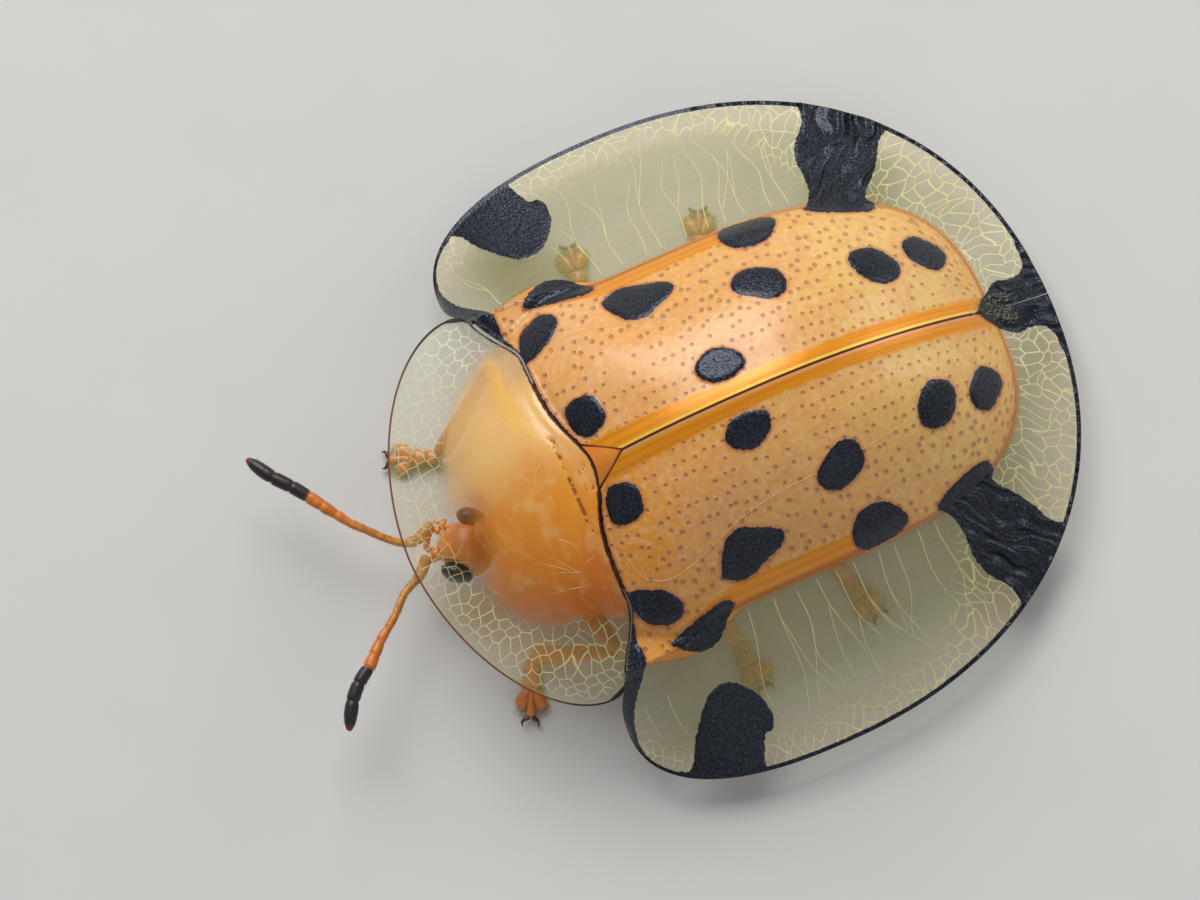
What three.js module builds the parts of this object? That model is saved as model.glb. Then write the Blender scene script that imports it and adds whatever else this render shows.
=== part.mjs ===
// A spotted tortoise beetle at life size, standing on six feet with its head turned to its right.
// Millimetres, +Z up, floor at z = 0. The head faces -Y, the tail +Y, the beetle's left side is +X.
// Heights named RISE are counted up from the plane of the shell's rim.
import * as THREE from 'three';
import { mergeVertices } from 'three/addons/utils/BufferGeometryUtils.js';

// Shell plates in general
const RIM_HEIGHT = 0.75;
const DOME_RISE = 4.25;
const DOME_ROUNDNESS = 2.1;
const DOME_FULLNESS = 0.9;
const PLATE_THICK = 0.5;
const EDGE_THICK = 0.25;
const GAP = 0.3;
const FINE_GAP = 0.12;

// Plan of the two wing cases: outer rim, then the raised disc inside its gutter
const RIM_HALF_WIDTH = 6.63;
const RIM_WIDEST_Y = 0.3;
const RIM_TAIL_Y = 7.6;
const RIM_TAIL_POWER = 2.2;
const SHOULDER_X = 4.7;
const SHOULDER_Y = -3.63;
const SHOULDER_POWER = 2.4;
const DISC_HALF_WIDTH = 3.52;
const DISC_MID_Y = 1.0;
const DISC_TAIL_Y = 6.38;
const DISC_FRONT_REACH = 5.0;
const DISC_POWER = 3;
const SHOULDER_FLARE = 0.33;
const DISC_FRONT_Y = -2.75;
const GUTTER_RISE_FRONT = 2.0;
const GUTTER_RISE_TAIL = 0.8;
const SUTURE_RIDGE = 0.08;
const SUTURE_RIDGE_WIDTH = 0.35;
const VEIN_RISE = 0.07;
const SPOT_RISE = 0.09;

// Neck shield: a broad half-moon plate over the head
const SHIELD_HALF_WIDTH = 4.15;
const SHIELD_WIDEST_Y = -3.7;
const SHIELD_FRONT_Y = -6.24;
const SHIELD_POWER = 1.8;
const SHIELD_CORNER_X = 3.98;
const SHIELD_HIND_Y = -2.2;
const SHIELD_EDGE_RISE = 1.45;
const SHIELD_MARGIN_RISE = 0.35;
const SHIELD_DOME_RISE = 1.6;
const SHIELD_DISC = 0.78;

// Underside, head and feelers
const BELLY_HEIGHT = 1.45;
const TAIL_DIP = 0.35;
const ABDOMEN_TAIL_Y = 5.45;
const BODY_PARTING_Y = 0.2;
const THORAX_FRONT_Y = -2.35;
const HEAD_CENTRE = new THREE.Vector3(0.05, -5.05, 1.2);
const HEAD_RADII = new THREE.Vector3(0.66, 0.58, 0.56);
const HEAD_TURN = THREE.MathUtils.degToRad(-39);
const EYE_RADII = new THREE.Vector3(0.2, 0.27, 0.33);
const EYE_OFFSET = new THREE.Vector3(0.58, -0.04, 0.06);
const FEELER_RADIUS = 0.25;
const FEELER_ROOT_RADIUS = 0.2;

const { smoothstep, lerp } = THREE.MathUtils;

// Shared corners of a closed geometry are merged, so that it is one shell
function welded(geometry) {
  const bare = geometry.clone();
  bare.deleteAttribute('normal');
  bare.deleteAttribute('uv');
  const shell = mergeVertices(bare);
  shell.computeVertexNormals();
  return shell;
}

function part(name, geometry, material) {
  const mesh = new THREE.Mesh(geometry, material);
  mesh.name = name;
  return mesh;
}

// Mirror in the plane x = 0, with the faces turned so that they still point out
function mirrored(geometry) {
  const copy = geometry.clone().scale(-1, 1, 1);
  const order = copy.index.array;
  for (let i = 0; i < order.length; i += 3) {
    [order[i], order[i + 1]] = [order[i + 1], order[i]];
  }
  return copy;
}

// The direction straight out of a surface, read a little inside its edges
function outward(surface, u, v) {
  const step = 0.005;
  const inU = THREE.MathUtils.clamp(u, 2 * step, 1 - 2 * step);
  const inV = THREE.MathUtils.clamp(v, 2 * step, 1 - 2 * step);
  const across = surface(inU + step, inV).sub(surface(inU - step, inV));
  const along = surface(inU, inV + step).sub(surface(inU, inV - step));
  return across.cross(along).normalize();
}

// A curved plate: surface(u, v) gives its upper face, and the lower face lies thickness(u, v) below it
function curvedPlate(surface, thickness, columns, rows) {
  const plate = new THREE.BoxGeometry(1, 1, 1, columns, rows, 1);
  const place = plate.attributes.position;
  for (let i = 0; i < place.count; i += 1) {
    const u = Math.round((place.getX(i) + 0.5) * columns) / columns;
    const v = Math.round((place.getY(i) + 0.5) * rows) / rows;
    const point = surface(u, v);
    const x = point.x;
    if (place.getZ(i) < 0) {
      point.addScaledVector(outward(surface, u, v), -thickness(u, v));
    }
    place.setXYZ(i, Math.abs(x) > GAP / 2 + 0.001 ? point.x : x, point.y, point.z);
  }
  splitLikeLowerFace(plate);
  return plate;
}

// The squares of a box's upper face are split along the same diagonal as those of its lower face
function splitLikeLowerFace(box) {
  const order = box.index.array;
  const { start, count } = box.groups[4];
  for (let i = start; i < start + count; i += 6) {
    const [a, b, d, , c] = order.slice(i, i + 6);
    order.set([a, b, c, a, c, d], i);
  }
}

// Height of the gutter that runs round the raised disc, highest at the shoulders
function gutterRise(y) {
  return lerp(GUTTER_RISE_FRONT, GUTTER_RISE_TAIL, smoothstep(y, 1.5, DISC_TAIL_Y));
}

// Half width of the disc, flared at the shoulders
function discHalfWidth(y) {
  return DISC_HALF_WIDTH + SHOULDER_FLARE * smoothstep(-y, 0.3, 2.0);
}

// Height of the domed disc, with a low ridge along its middle
function discRise(x, y) {
  const dy = y - DISC_MID_Y;
  const reach = dy > 0 ? DISC_TAIL_Y - DISC_MID_Y : DISC_FRONT_REACH;
  const ratio = (Math.abs(x / discHalfWidth(y)) ** DISC_POWER + Math.abs(dy / reach) ** DISC_POWER)
    ** (1 / DISC_POWER);
  const foot = gutterRise(Math.min(DISC_MID_Y + dy / Math.max(ratio, 0.05), DISC_TAIL_Y));
  const swell = Math.max(0, 1 - ratio ** DOME_ROUNDNESS) ** DOME_FULLNESS;
  const ridge = SUTURE_RIDGE * Math.exp(-((x / SUTURE_RIDGE_WIDTH) ** 2)) * Math.min(1, 4 * swell);
  return foot + (DOME_RISE - foot) * swell + ridge;
}

// Black spots of one wing case, each a low raised place: centre, length, width and turn in degrees
const SPOTS = [
  { x: 2.9, y: -2.1, length: 1.0, width: 0.62, turn: 60 },
  { x: 1.0, y: -1.7, length: 0.75, width: 0.7, turn: 0 },
  { x: 3.55, y: -1.4, length: 0.95, width: 0.45, turn: 80 },
  { x: 2.72, y: 0.02, length: 1.25, width: 0.75, turn: 75 },
  { x: 1.98, y: 2.32, length: 1.0, width: 0.72, turn: 90 },
  { x: 3.15, y: 2.56, length: 1.2, width: 0.6, turn: 85 },
  { x: 0.75, y: 0.92, length: 0.95, width: 0.7, turn: 80 },
  { x: 1.55, y: 4.55, length: 0.9, width: 0.75, turn: 90 },
  { x: 1.5, y: 5.55, length: 0.8, width: 0.6, turn: 60 },
];

function spotRise(x, y) {
  let rise = 0;
  for (const { x: spotX, y: spotY, length, width, turn } of SPOTS) {
    const angle = THREE.MathUtils.degToRad(turn);
    const along = (x - spotX) * Math.cos(angle) + (y - spotY) * Math.sin(angle);
    const aside = (y - spotY) * Math.cos(angle) - (x - spotX) * Math.sin(angle);
    const out = Math.hypot(2 * along / length, 2 * aside / width);
    rise = Math.max(rise, SPOT_RISE * (1 - smoothstep(out, 0.75, 1.15)));
  }
  return rise;
}

// Height of the neck shield, from its highest point at the hind edge out to its thin margin
function shieldRise(x, y) {
  const ratio = (Math.abs(x / SHIELD_HALF_WIDTH) ** 2.2
    + Math.abs((y - SHIELD_HIND_Y) / (SHIELD_FRONT_Y - SHIELD_HIND_Y)) ** 2.2) ** (1 / 2.2);
  const margin = SHIELD_EDGE_RISE + SHIELD_MARGIN_RISE * Math.min(1, (1 - ratio) / (1 - SHIELD_DISC));
  return margin + SHIELD_DOME_RISE * Math.max(0, 1 - (ratio / SHIELD_DISC) ** 2.5);
}

// Hind edge of the neck shield, drawn back at the middle and swept forward at the corners
function shieldHindY(x) {
  return -2.62 + 0.45 * Math.exp(-((x / 0.95) ** 2)) - 0.62 * smoothstep(Math.abs(x), 2.6, 4.0);
}

// Height of a ceiling that keeps a given distance under a height function, square to its slope
function ceiling(rise, x, y, distance) {
  const step = 0.02;
  const slopeX = (rise(x + step, y) - rise(x - step, y)) / (2 * step);
  const slopeY = (rise(x, y + step) - rise(x, y - step)) / (2 * step);
  return RIM_HEIGHT + rise(x, y) - distance * Math.hypot(slopeX, slopeY, 1);
}

// A point of a superellipse, angle 0 on +X and a quarter turn on +Y
function superellipse(centreX, centreY, halfX, halfY, power, angle) {
  const c = Math.cos(angle);
  const s = Math.sin(angle);
  return new THREE.Vector3(
    centreX + halfX * Math.sign(c) * Math.abs(c) ** (2 / power),
    centreY + halfY * Math.sign(s) * Math.abs(s) ** (2 / power),
    0,
  );
}

// Plan curves of the left wing case, each from the shoulder round to the tail
const QUARTER = Math.PI / 2;
const CURVE_STEPS = 24;

function rimCurve() {
  const points = [];
  for (let i = 0; i < CURVE_STEPS; i += 1) {
    points.push(superellipse(SHOULDER_X, RIM_WIDEST_Y, RIM_HALF_WIDTH - SHOULDER_X,
      RIM_WIDEST_Y - SHOULDER_Y, SHOULDER_POWER, -QUARTER * (1 - i / CURVE_STEPS)));
  }
  for (let i = 0; i <= CURVE_STEPS; i += 1) {
    points.push(superellipse(GAP / 2, RIM_WIDEST_Y, RIM_HALF_WIDTH - GAP / 2,
      RIM_TAIL_Y - RIM_WIDEST_Y, RIM_TAIL_POWER, QUARTER * i / CURVE_STEPS));
  }
  return new THREE.CatmullRomCurve3(points);
}

function gutterCurve() {
  const points = [];
  for (let i = 0; i < CURVE_STEPS; i += 1) {
    const y = lerp(DISC_FRONT_Y, DISC_MID_Y, i / CURVE_STEPS);
    points.push(new THREE.Vector3(discHalfWidth(y), y, 0));
  }
  for (let i = 0; i <= CURVE_STEPS; i += 1) {
    points.push(superellipse(GAP / 2, DISC_MID_Y, DISC_HALF_WIDTH - GAP / 2,
      DISC_TAIL_Y - DISC_MID_Y, DISC_POWER, QUARTER * i / CURVE_STEPS));
  }
  return new THREE.CatmullRomCurve3(points);
}

// Wing cases: a domed disc, a gutter round it and a thin sloping margin with raised veins
const SUTURE_FRONT_Y = -1.3;
const SUTURE_TURN_Y = 4.0;
const CASE_CORNER_X = 0.75;
const DISC_SHARE = 0.5;
const CASE_COLUMNS = 20;
const CASE_ROWS = 36;
const VEIN_EVERY = 4;
const caseRim = rimCurve();
const caseGutter = gutterCurve();

// The front edge runs back beside the scutellum, and elsewhere follows the neck shield
function caseBaseY(x) {
  const besideScutellum = lerp(SUTURE_FRONT_Y, shieldHindY(CASE_CORNER_X) + GAP, x / CASE_CORNER_X);
  return x < CASE_CORNER_X ? besideScutellum : shieldHindY(x) + GAP;
}

function caseSurface(u, v) {
  const gutter = caseGutter.getPointAt(v);
  if (u <= DISC_SHARE) {
    const suture = new THREE.Vector3(GAP / 2, lerp(SUTURE_FRONT_Y, SUTURE_TURN_Y, v), 0);
    const point = suture.lerp(gutter, u / DISC_SHARE);
    const frontLine = lerp(SUTURE_FRONT_Y, DISC_FRONT_Y, u / DISC_SHARE);
    point.y += (1 - v) ** 5 * (caseBaseY(point.x) - frontLine);
    point.z = RIM_HEIGHT + discRise(point.x, point.y) + spotRise(point.x, point.y);
    return point;
  }
  const rim = caseRim.getPointAt(v);
  const out = (u - DISC_SHARE) / (1 - DISC_SHARE);
  const base = caseBaseY(gutter.x) - DISC_FRONT_Y;
  const point = gutter.clone().lerp(rim, out);
  point.y += (1 - v) ** 5 * base * (1 - out);
  const line = Math.round(v * CASE_ROWS);
  const onVein = line % VEIN_EVERY === 2 && Math.abs(v * CASE_ROWS - line) < 0.01;
  const vein = onVein && out > 0.05 && out < 0.95 ? VEIN_RISE : 0;
  point.z = RIM_HEIGHT + gutterRise(gutter.y) * (1 - out) * (0.88 + 0.12 * (1 - out)) + vein;
  return point;
}

function caseThickness(u, v) {
  const margin = Math.max(0, (u - DISC_SHARE) / (1 - DISC_SHARE));
  return lerp(PLATE_THICK, EDGE_THICK, smoothstep(margin, 0.75, 1));
}

function wingCase() {
  return welded(curvedPlate(caseSurface, caseThickness, CASE_COLUMNS, CASE_ROWS));
}

// Neck shield
const SHIELD_COLUMNS = 28;
const SHIELD_ROWS = 11;

function shieldSurface(u, v) {
  const side = 2 * u - 1;
  const front = superellipse(0, SHIELD_WIDEST_Y, SHIELD_HALF_WIDTH, SHIELD_WIDEST_Y - SHIELD_FRONT_Y,
    SHIELD_POWER, -QUARTER * (1 - side));
  const hindX = SHIELD_CORNER_X * side;
  const point = front.lerp(new THREE.Vector3(hindX, shieldHindY(hindX), 0), v);
  point.z = RIM_HEIGHT + shieldRise(point.x, point.y);
  return point;
}

function shieldThickness(u, v) {
  const side = Math.abs(2 * u - 1);
  return lerp(EDGE_THICK, PLATE_THICK, Math.min(smoothstep(v, 0, 0.2), smoothstep(1 - side, 0, 0.12)));
}

function shield() {
  return welded(curvedPlate(shieldSurface, shieldThickness, SHIELD_COLUMNS, SHIELD_ROWS));
}

// Scutellum: a small triangle between the wing cases, level with them
function scutellum() {
  const halfWidth = 0.42;
  const front = shieldHindY(0) + FINE_GAP;
  const tip = SUTURE_FRONT_Y - 2 * FINE_GAP;
  const outline = new THREE.Shape([
    new THREE.Vector2(-halfWidth, front),
    new THREE.Vector2(halfWidth, front),
    new THREE.Vector2(0, tip),
  ]);
  const plate = new THREE.ExtrudeGeometry(outline, { depth: PLATE_THICK, bevelEnabled: false });
  const place = plate.attributes.position;
  for (let i = 0; i < place.count; i += 1) {
    const top = RIM_HEIGHT + discRise(place.getX(i), place.getY(i));
    place.setZ(i, top - PLATE_THICK + place.getZ(i));
  }
  return plate;
}

// The belly dips towards the tail, where the shell above comes down
function bellyHeight(y) {
  return BELLY_HEIGHT - TAIL_DIP * smoothstep(y, 3, 5.5);
}

// Trunk under the shell: rings along the body, its back under the plates and its belly nearly flat
function trunkLength({ rise, halfWidthAt, stations, sides }) {
  const tube = new THREE.CylinderGeometry(1, 1, 1, sides, stations.length - 1);
  const place = tube.attributes.position;
  for (let i = 0; i < place.count; i += 1) {
    const { y, inset } = stations[Math.round((place.getY(i) + 0.5) * (stations.length - 1))];
    const round = superellipse(0, 0, 1, 1, 2.4, Math.atan2(place.getX(i), -place.getZ(i)));
    const out = Math.min(1, Math.hypot(place.getX(i), place.getZ(i)));
    const halfWidth = halfWidthAt(y) - inset;
    const across = round.x * out;
    const x = halfWidth * across;
    const sideZ = ceiling(rise, halfWidth, y, PLATE_THICK + GAP);
    const backZ = ceiling(rise, x, y, PLATE_THICK + GAP) - inset;
    const bellyZ = lerp(bellyHeight(y), sideZ, Math.abs(across) ** 6) + inset;
    place.setXYZ(i, x, y, lerp(bellyZ, backZ, 0.5 + 0.5 * round.y * out));
  }
  return welded(tube);
}

function evenStations(from, to, count) {
  return Array.from({ length: count }, (_, i) => ({ y: lerp(from, to, i / (count - 1)), inset: 0 }));
}

// Half width of the trunk: even along the thorax, then rounded off towards the tail
const TRUNK_HALF_WIDTH = 3.07;
const TAIL_ROUNDNESS = 2.2;

function trunkHalfWidth(y) {
  const back = Math.max(0, y - DISC_MID_Y) / (ABDOMEN_TAIL_Y + 0.1 - DISC_MID_Y);
  return TRUNK_HALF_WIDTH * (1 - back ** TAIL_ROUNDNESS) ** (1 / TAIL_ROUNDNESS);
}

function thorax() {
  const stations = evenStations(THORAX_FRONT_Y, BODY_PARTING_Y, 8);
  return trunkLength({ rise: discRise, halfWidthAt: trunkHalfWidth, stations, sides: 24 });
}

// Abdomen of five rings, with a shallow seam between each two
const ABDOMEN_RINGS = 5;
const SEAM_DEPTH = 0.1;
const SEAM_WIDTH = 0.16;

function abdomen() {
  const front = BODY_PARTING_Y + GAP;
  const tail = ABDOMEN_TAIL_Y;
  const stations = [];
  for (let ring = 0; ring < ABDOMEN_RINGS; ring += 1) {
    const from = lerp(front, tail, ring / ABDOMEN_RINGS);
    const to = lerp(front, tail, (ring + 1) / ABDOMEN_RINGS);
    const last = ring === ABDOMEN_RINGS - 1;
    stations.push({ y: from, inset: ring ? SEAM_DEPTH : 0 });
    stations.push({ y: from + SEAM_WIDTH / 2, inset: 0 });
    stations.push({ y: lerp(from, to, last ? 0.6 : 0.5), inset: 0 });
    stations.push({ y: last ? lerp(from, to, 0.85) : to - SEAM_WIDTH / 2, inset: 0 });
  }
  stations.push({ y: tail, inset: 0.05 });
  return trunkLength({ rise: discRise, halfWidthAt: trunkHalfWidth, stations, sides: 24 });
}

// Prothorax, narrowing forward to the neck
function foreBody() {
  const stations = evenStations(-4.1, THORAX_FRONT_Y - GAP, 6);
  const halfWidthAt = (y) => lerp(1.5, 2.3, smoothstep(y, -4.1, -2.9));
  return trunkLength({ rise: shieldRise, halfWidthAt, stations, sides: 20 });
}

// Head: a rounded capsule with a face bulge below, and a hollow at each side where the eye sits
function ellipsoid(radii, sides, rings) {
  return new THREE.SphereGeometry(1, sides, rings).rotateX(QUARTER).scale(radii.x, radii.y, radii.z);
}

function eyePlace(side) {
  return new THREE.Vector3(side * EYE_OFFSET.x, EYE_OFFSET.y, EYE_OFFSET.z);
}

const FACE_REACH = 0.24;
const FACE_DROP = 0.2;

function head() {
  const skull = ellipsoid(HEAD_RADII, 28, 18);
  const place = skull.attributes.position;
  const point = new THREE.Vector3();
  for (let i = 0; i < place.count; i += 1) {
    point.fromBufferAttribute(place, i);
    const low = smoothstep(-point.z / HEAD_RADII.z, -0.4, 0.8);
    const ahead = low * smoothstep(-point.y / HEAD_RADII.y, 0.2, 1);
    const middle = Math.exp(-((point.x / 0.34) ** 2));
    point.y -= FACE_REACH * ahead * middle;
    point.z -= FACE_DROP * ahead * middle;
    for (const side of [-1, 1]) {
      const centre = eyePlace(side);
      const socket = EYE_RADII.clone().addScalar(FINE_GAP);
      const inside = point.clone().sub(centre).divide(socket);
      const depth = 1 - inside.length();
      if (depth > 0) {
        const inward = side * Math.sqrt(Math.max(0, 1 - inside.y ** 2 - inside.z ** 2)) * socket.x;
        point.x = centre.x - inward;
      }
    }
    place.setXYZ(i, point.x, point.y, point.z);
  }
  return welded(skull);
}

// A round tube bent along a curve; sectionAt(t) gives its half width and half height
function bentTube(curve, sectionAt, steps, sides) {
  const tube = new THREE.CylinderGeometry(1, 1, 1, sides, steps.length - 1);
  const place = tube.attributes.position;
  const up = new THREE.Vector3(0, 0, 1);
  for (let i = 0; i < place.count; i += 1) {
    const t = steps[Math.round((0.5 - place.getY(i)) * (steps.length - 1))];
    const { wide, high } = sectionAt(t);
    const ahead = curve.getTangentAt(t);
    const aside = up.clone().cross(ahead).normalize();
    const above = ahead.clone().cross(aside);
    const point = curve.getPointAt(t)
      .addScaledVector(aside, -wide * place.getX(i))
      .addScaledVector(above, -high * place.getZ(i));
    place.setXYZ(i, point.x, point.y, Math.max(0, point.z));
  }
  return tube;
}

// The value at t of a list of [t, value] stops, in straight steps
function alongStops(stops, t) {
  const next = stops.findIndex(([at]) => at >= t);
  if (next <= 0) {
    return stops[0][1];
  }
  const [fromT, from] = stops[next - 1];
  const [toT, to] = stops[next];
  return lerp(from, to, (t - fromT) / (toT - fromT));
}

// Feelers: eleven joints each, along a curve that leaves the head under the shield
const FEELER_JOINTS = [0.5, 0.25, 0.42, 0.4, 0.38, 0.34, 0.34, 0.34, 0.4, 0.42, 0.7];
const FEELERS = {
  antenna_right: [
    [-0.66, -5.5, 1.2], [-0.52, -6.15, 1.2], [-1.17, -6.88, 1.42], [-1.52, -7.16, 1.5],
    [-2.3, -7.69, 1.6], [-2.82, -8.1, 1.6], [-3.42, -8.45, 1.55],
  ],
  antenna_left: [
    [-0.13, -5.86, 1.2], [0.2, -6.2, 1.2], [0.4, -6.58, 1.3], [0.78, -6.97, 1.4], [1.1, -7.39, 1.48],
    [1.47, -7.77, 1.55], [1.7, -8.09, 1.58], [2.01, -8.38, 1.58], [2.61, -8.73, 1.55],
  ],
};
const JOINT_WAIST = 0.78;
const FEELER_TIP = 0.06;

function feeler(points) {
  const curve = new THREE.CatmullRomCurve3(points.map((p) => new THREE.Vector3(...p)));
  const total = FEELER_JOINTS.reduce((sum, one) => sum + one);
  const stops = [];
  let done = 0;
  FEELER_JOINTS.forEach((length, i) => {
    const radius = lerp(FEELER_ROOT_RADIUS, FEELER_RADIUS, Math.min(1, i / 5));
    const last = i === FEELER_JOINTS.length - 1;
    stops.push([done / total, JOINT_WAIST * radius]);
    stops.push([(done + (last ? 0.35 : 0.75) * length) / total, radius]);
    done += length;
  });
  stops.push([1, FEELER_TIP]);
  const sectionAt = (t) => ({ wide: alongStops(stops, t), high: alongStops(stops, t) });
  return welded(bentTube(curve, sectionAt, stops.map(([t]) => t), 8));
}

// Legs: thigh and shin, then a flat foot of widening pads; the claws stand just beyond it
const LEGS = {
  front_left: { hip: [0.95, -3.65], knee: [3.2, -3.15], ankle: [2.45, -4.75], toe: [3.72, -5.36] },
  front_right: { hip: [-0.95, -3.65], knee: [-3.15, -3.2], ankle: [-2.0, -4.85], toe: [-2.43, -5.95] },
  middle_left: { hip: [1.15, -1.35], knee: [2.9, -1.15], ankle: [3.85, -0.9], toe: [5.0, -0.75] },
  middle_right: { hip: [-1.15, -1.35], knee: [-2.9, -1.15], ankle: [-3.85, -0.9], toe: [-5.0, -0.75] },
  hind_left: { hip: [1.2, 0.8], knee: [2.65, 1.25], ankle: [3.55, 1.6], toe: [4.6, 1.95] },
  hind_right: { hip: [-1.2, 0.8], knee: [-2.65, 1.25], ankle: [-3.55, 1.6], toe: [-4.6, 1.95] },
};
const HIP_HEIGHT = 0.87;
const KNEE_HEIGHT = 1.1;
const ANKLE_HEIGHT = 0.36;
const FOOT_HEIGHT = 0.16;
const FOOT_SHARE = 0.8;
const CLAW_SPREAD = 0.17;
const CLAW_HEIGHT = 0.15;
const CLAW_RADIUS = 0.1;
const CLAW_TIP = 0.03;
const KNEE_BEND = 0.12;
// Share of the length, half width and half height: hip to knee, knee to ankle, then the pads of the foot
const THIGH_SECTION = [
  [0, 0.2, 0.2], [0.06, 0.28, 0.28], [0.16, 0.22, 0.22], [0.5, 0.29, 0.27], [0.9, 0.24, 0.24],
];
const SHIN_SECTION = [[0.06, 0.24, 0.24], [0.2, 0.2, 0.2], [0.7, 0.25, 0.23], [0.92, 0.25, 0.22]];
const FOOT_SECTION = [
  [0.04, 0.2, 0.2], [0.18, 0.27, 0.24], [0.26, 0.22, 0.21], [0.42, 0.33, 0.24], [0.5, 0.25, 0.21],
  [0.72, 0.42, 0.23], [0.8, 0.34, 0.21], [0.84, 0.15, 0.13], [1, 0.17, 0.13],
];

function leg({ hip, knee, ankle, toe }) {
  const hipCentre = new THREE.Vector3(...hip, HIP_HEIGHT);
  const kneeCentre = new THREE.Vector3(...knee, KNEE_HEIGHT);
  const ankleCentre = new THREE.Vector3(...ankle, ANKLE_HEIGHT);
  const toeCentre = new THREE.Vector3(...toe, FOOT_HEIGHT);
  const footStart = ankleCentre.clone().lerp(toeCentre, 0.2).setZ(FOOT_HEIGHT);
  const clawRoot = ankleCentre.clone().lerp(toeCentre, FOOT_SHARE).setZ(FOOT_HEIGHT);
  const path = new THREE.CurvePath();
  const kneeIn = kneeCentre.clone().lerp(hipCentre, KNEE_BEND);
  const kneeOut = kneeCentre.clone().lerp(ankleCentre, KNEE_BEND);
  const ankleIn = ankleCentre.clone().lerp(kneeCentre, KNEE_BEND);
  path.add(new THREE.LineCurve3(hipCentre, kneeIn));
  path.add(new THREE.QuadraticBezierCurve3(kneeIn, kneeCentre, kneeOut));
  path.add(new THREE.LineCurve3(kneeOut, ankleIn));
  path.add(new THREE.QuadraticBezierCurve3(ankleIn, ankleCentre, footStart));
  path.add(new THREE.LineCurve3(footStart, clawRoot));
  const lengths = path.getCurveLengths();
  const total = lengths[lengths.length - 1];
  const kneeT = (lengths[0] + lengths[1]) / 2 / total;
  const ankleT = (lengths[2] + lengths[3]) / 2 / total;
  const rows = [
    ...THIGH_SECTION.map(([t, wide, high]) => [lerp(0, kneeT, t), wide, high]),
    ...SHIN_SECTION.map(([t, wide, high]) => [lerp(kneeT, ankleT, t), wide, high]),
    ...FOOT_SECTION.map(([t, wide, high]) => [lerp(ankleT, 1, t), wide, high]),
  ];
  const wideStops = rows.map(([t, wide]) => [t, wide]);
  const highStops = rows.map(([t, , high]) => [t, high]);
  const sectionAt = (t) => ({ wide: alongStops(wideStops, t), high: alongStops(highStops, t) });
  return welded(bentTube(path, sectionAt, rows.map(([t]) => t), 10));
}

// The two claws of a foot: one slender hook, pointed at both ends and bent at the middle
function claws({ ankle, toe }) {
  const toeTip = new THREE.Vector3(...toe, CLAW_HEIGHT);
  const ahead = toeTip.clone().sub(new THREE.Vector3(...ankle, CLAW_HEIGHT));
  const root = toeTip.clone().addScaledVector(ahead, FOOT_SHARE - 1);
  ahead.normalize();
  root.addScaledVector(ahead, FINE_GAP + CLAW_RADIUS);
  const aside = new THREE.Vector3(-ahead.y, ahead.x, 0);
  const tips = [-1, 1].map((side) => toeTip.clone().addScaledVector(aside, CLAW_SPREAD * side));
  const hook = new THREE.QuadraticBezierCurve3(
    tips[0],
    root.clone().multiplyScalar(2).sub(tips[0].clone().add(tips[1]).multiplyScalar(0.5)),
    tips[1],
  );
  const sectionAt = (t) => {
    const radius = lerp(CLAW_RADIUS, CLAW_TIP, Math.abs(2 * t - 1));
    return { wide: radius, high: radius };
  };
  return welded(bentTube(hook, sectionAt, [0, 0.2, 0.38, 0.5, 0.62, 0.8, 1], 6));
}

// Colours of the finishes
const orangeShell = new THREE.MeshStandardMaterial({ color: 0xe39a3f, roughness: 0.35, metalness: 0 });
const shieldShell = new THREE.MeshStandardMaterial({ color: 0xd9a457, roughness: 0.35, metalness: 0 });
const bodyShell = new THREE.MeshStandardMaterial({ color: 0xc97d2e, roughness: 0.5, metalness: 0 });
const eyeBlack = new THREE.MeshStandardMaterial({ color: 0x14110f, roughness: 0.25, metalness: 0 });
const clawBrown = new THREE.MeshStandardMaterial({ color: 0x5a2a12, roughness: 0.4, metalness: 0 });
const legAmber = new THREE.MeshStandardMaterial({ color: 0xc4762c, roughness: 0.45, metalness: 0 });

// The beetle
const beetle = new THREE.Group();
const leftCase = wingCase();
beetle.add(
  part('elytron_left', leftCase, orangeShell),
  part('elytron_right', mirrored(leftCase), orangeShell),
  part('scutellum', welded(scutellum()), orangeShell),
  part('pronotum', shield(), shieldShell),
  part('prothorax', foreBody(), bodyShell),
  part('thorax', thorax(), bodyShell),
  part('abdomen', abdomen(), bodyShell),
);

const headGroup = new THREE.Group();
headGroup.position.copy(HEAD_CENTRE);
headGroup.rotation.z = HEAD_TURN;
headGroup.add(part('head', head(), bodyShell));
for (const [name, side] of [['eye_left', 1], ['eye_right', -1]]) {
  const eye = part(name, welded(ellipsoid(EYE_RADII, 12, 8)), eyeBlack);
  eye.position.copy(eyePlace(side));
  headGroup.add(eye);
}
beetle.add(headGroup);

for (const [name, points] of Object.entries(FEELERS)) {
  beetle.add(part(name, feeler(points), legAmber));
}
for (const [name, joints] of Object.entries(LEGS)) {
  beetle.add(part(`leg_${name}`, leg(joints), legAmber));
  beetle.add(part(`claws_${name}`, claws(joints), clawBrown));
}

// Stand it with the middle of its outline over the origin
const reach = new THREE.Box3().setFromObject(beetle);
beetle.position.y = -(reach.min.y + reach.max.y) / 2;
const model = new THREE.Group();
model.add(beetle);

export default model;
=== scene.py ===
import math

import bmesh
import bpy
import numpy as np
from mathutils import Matrix, Vector


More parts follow.
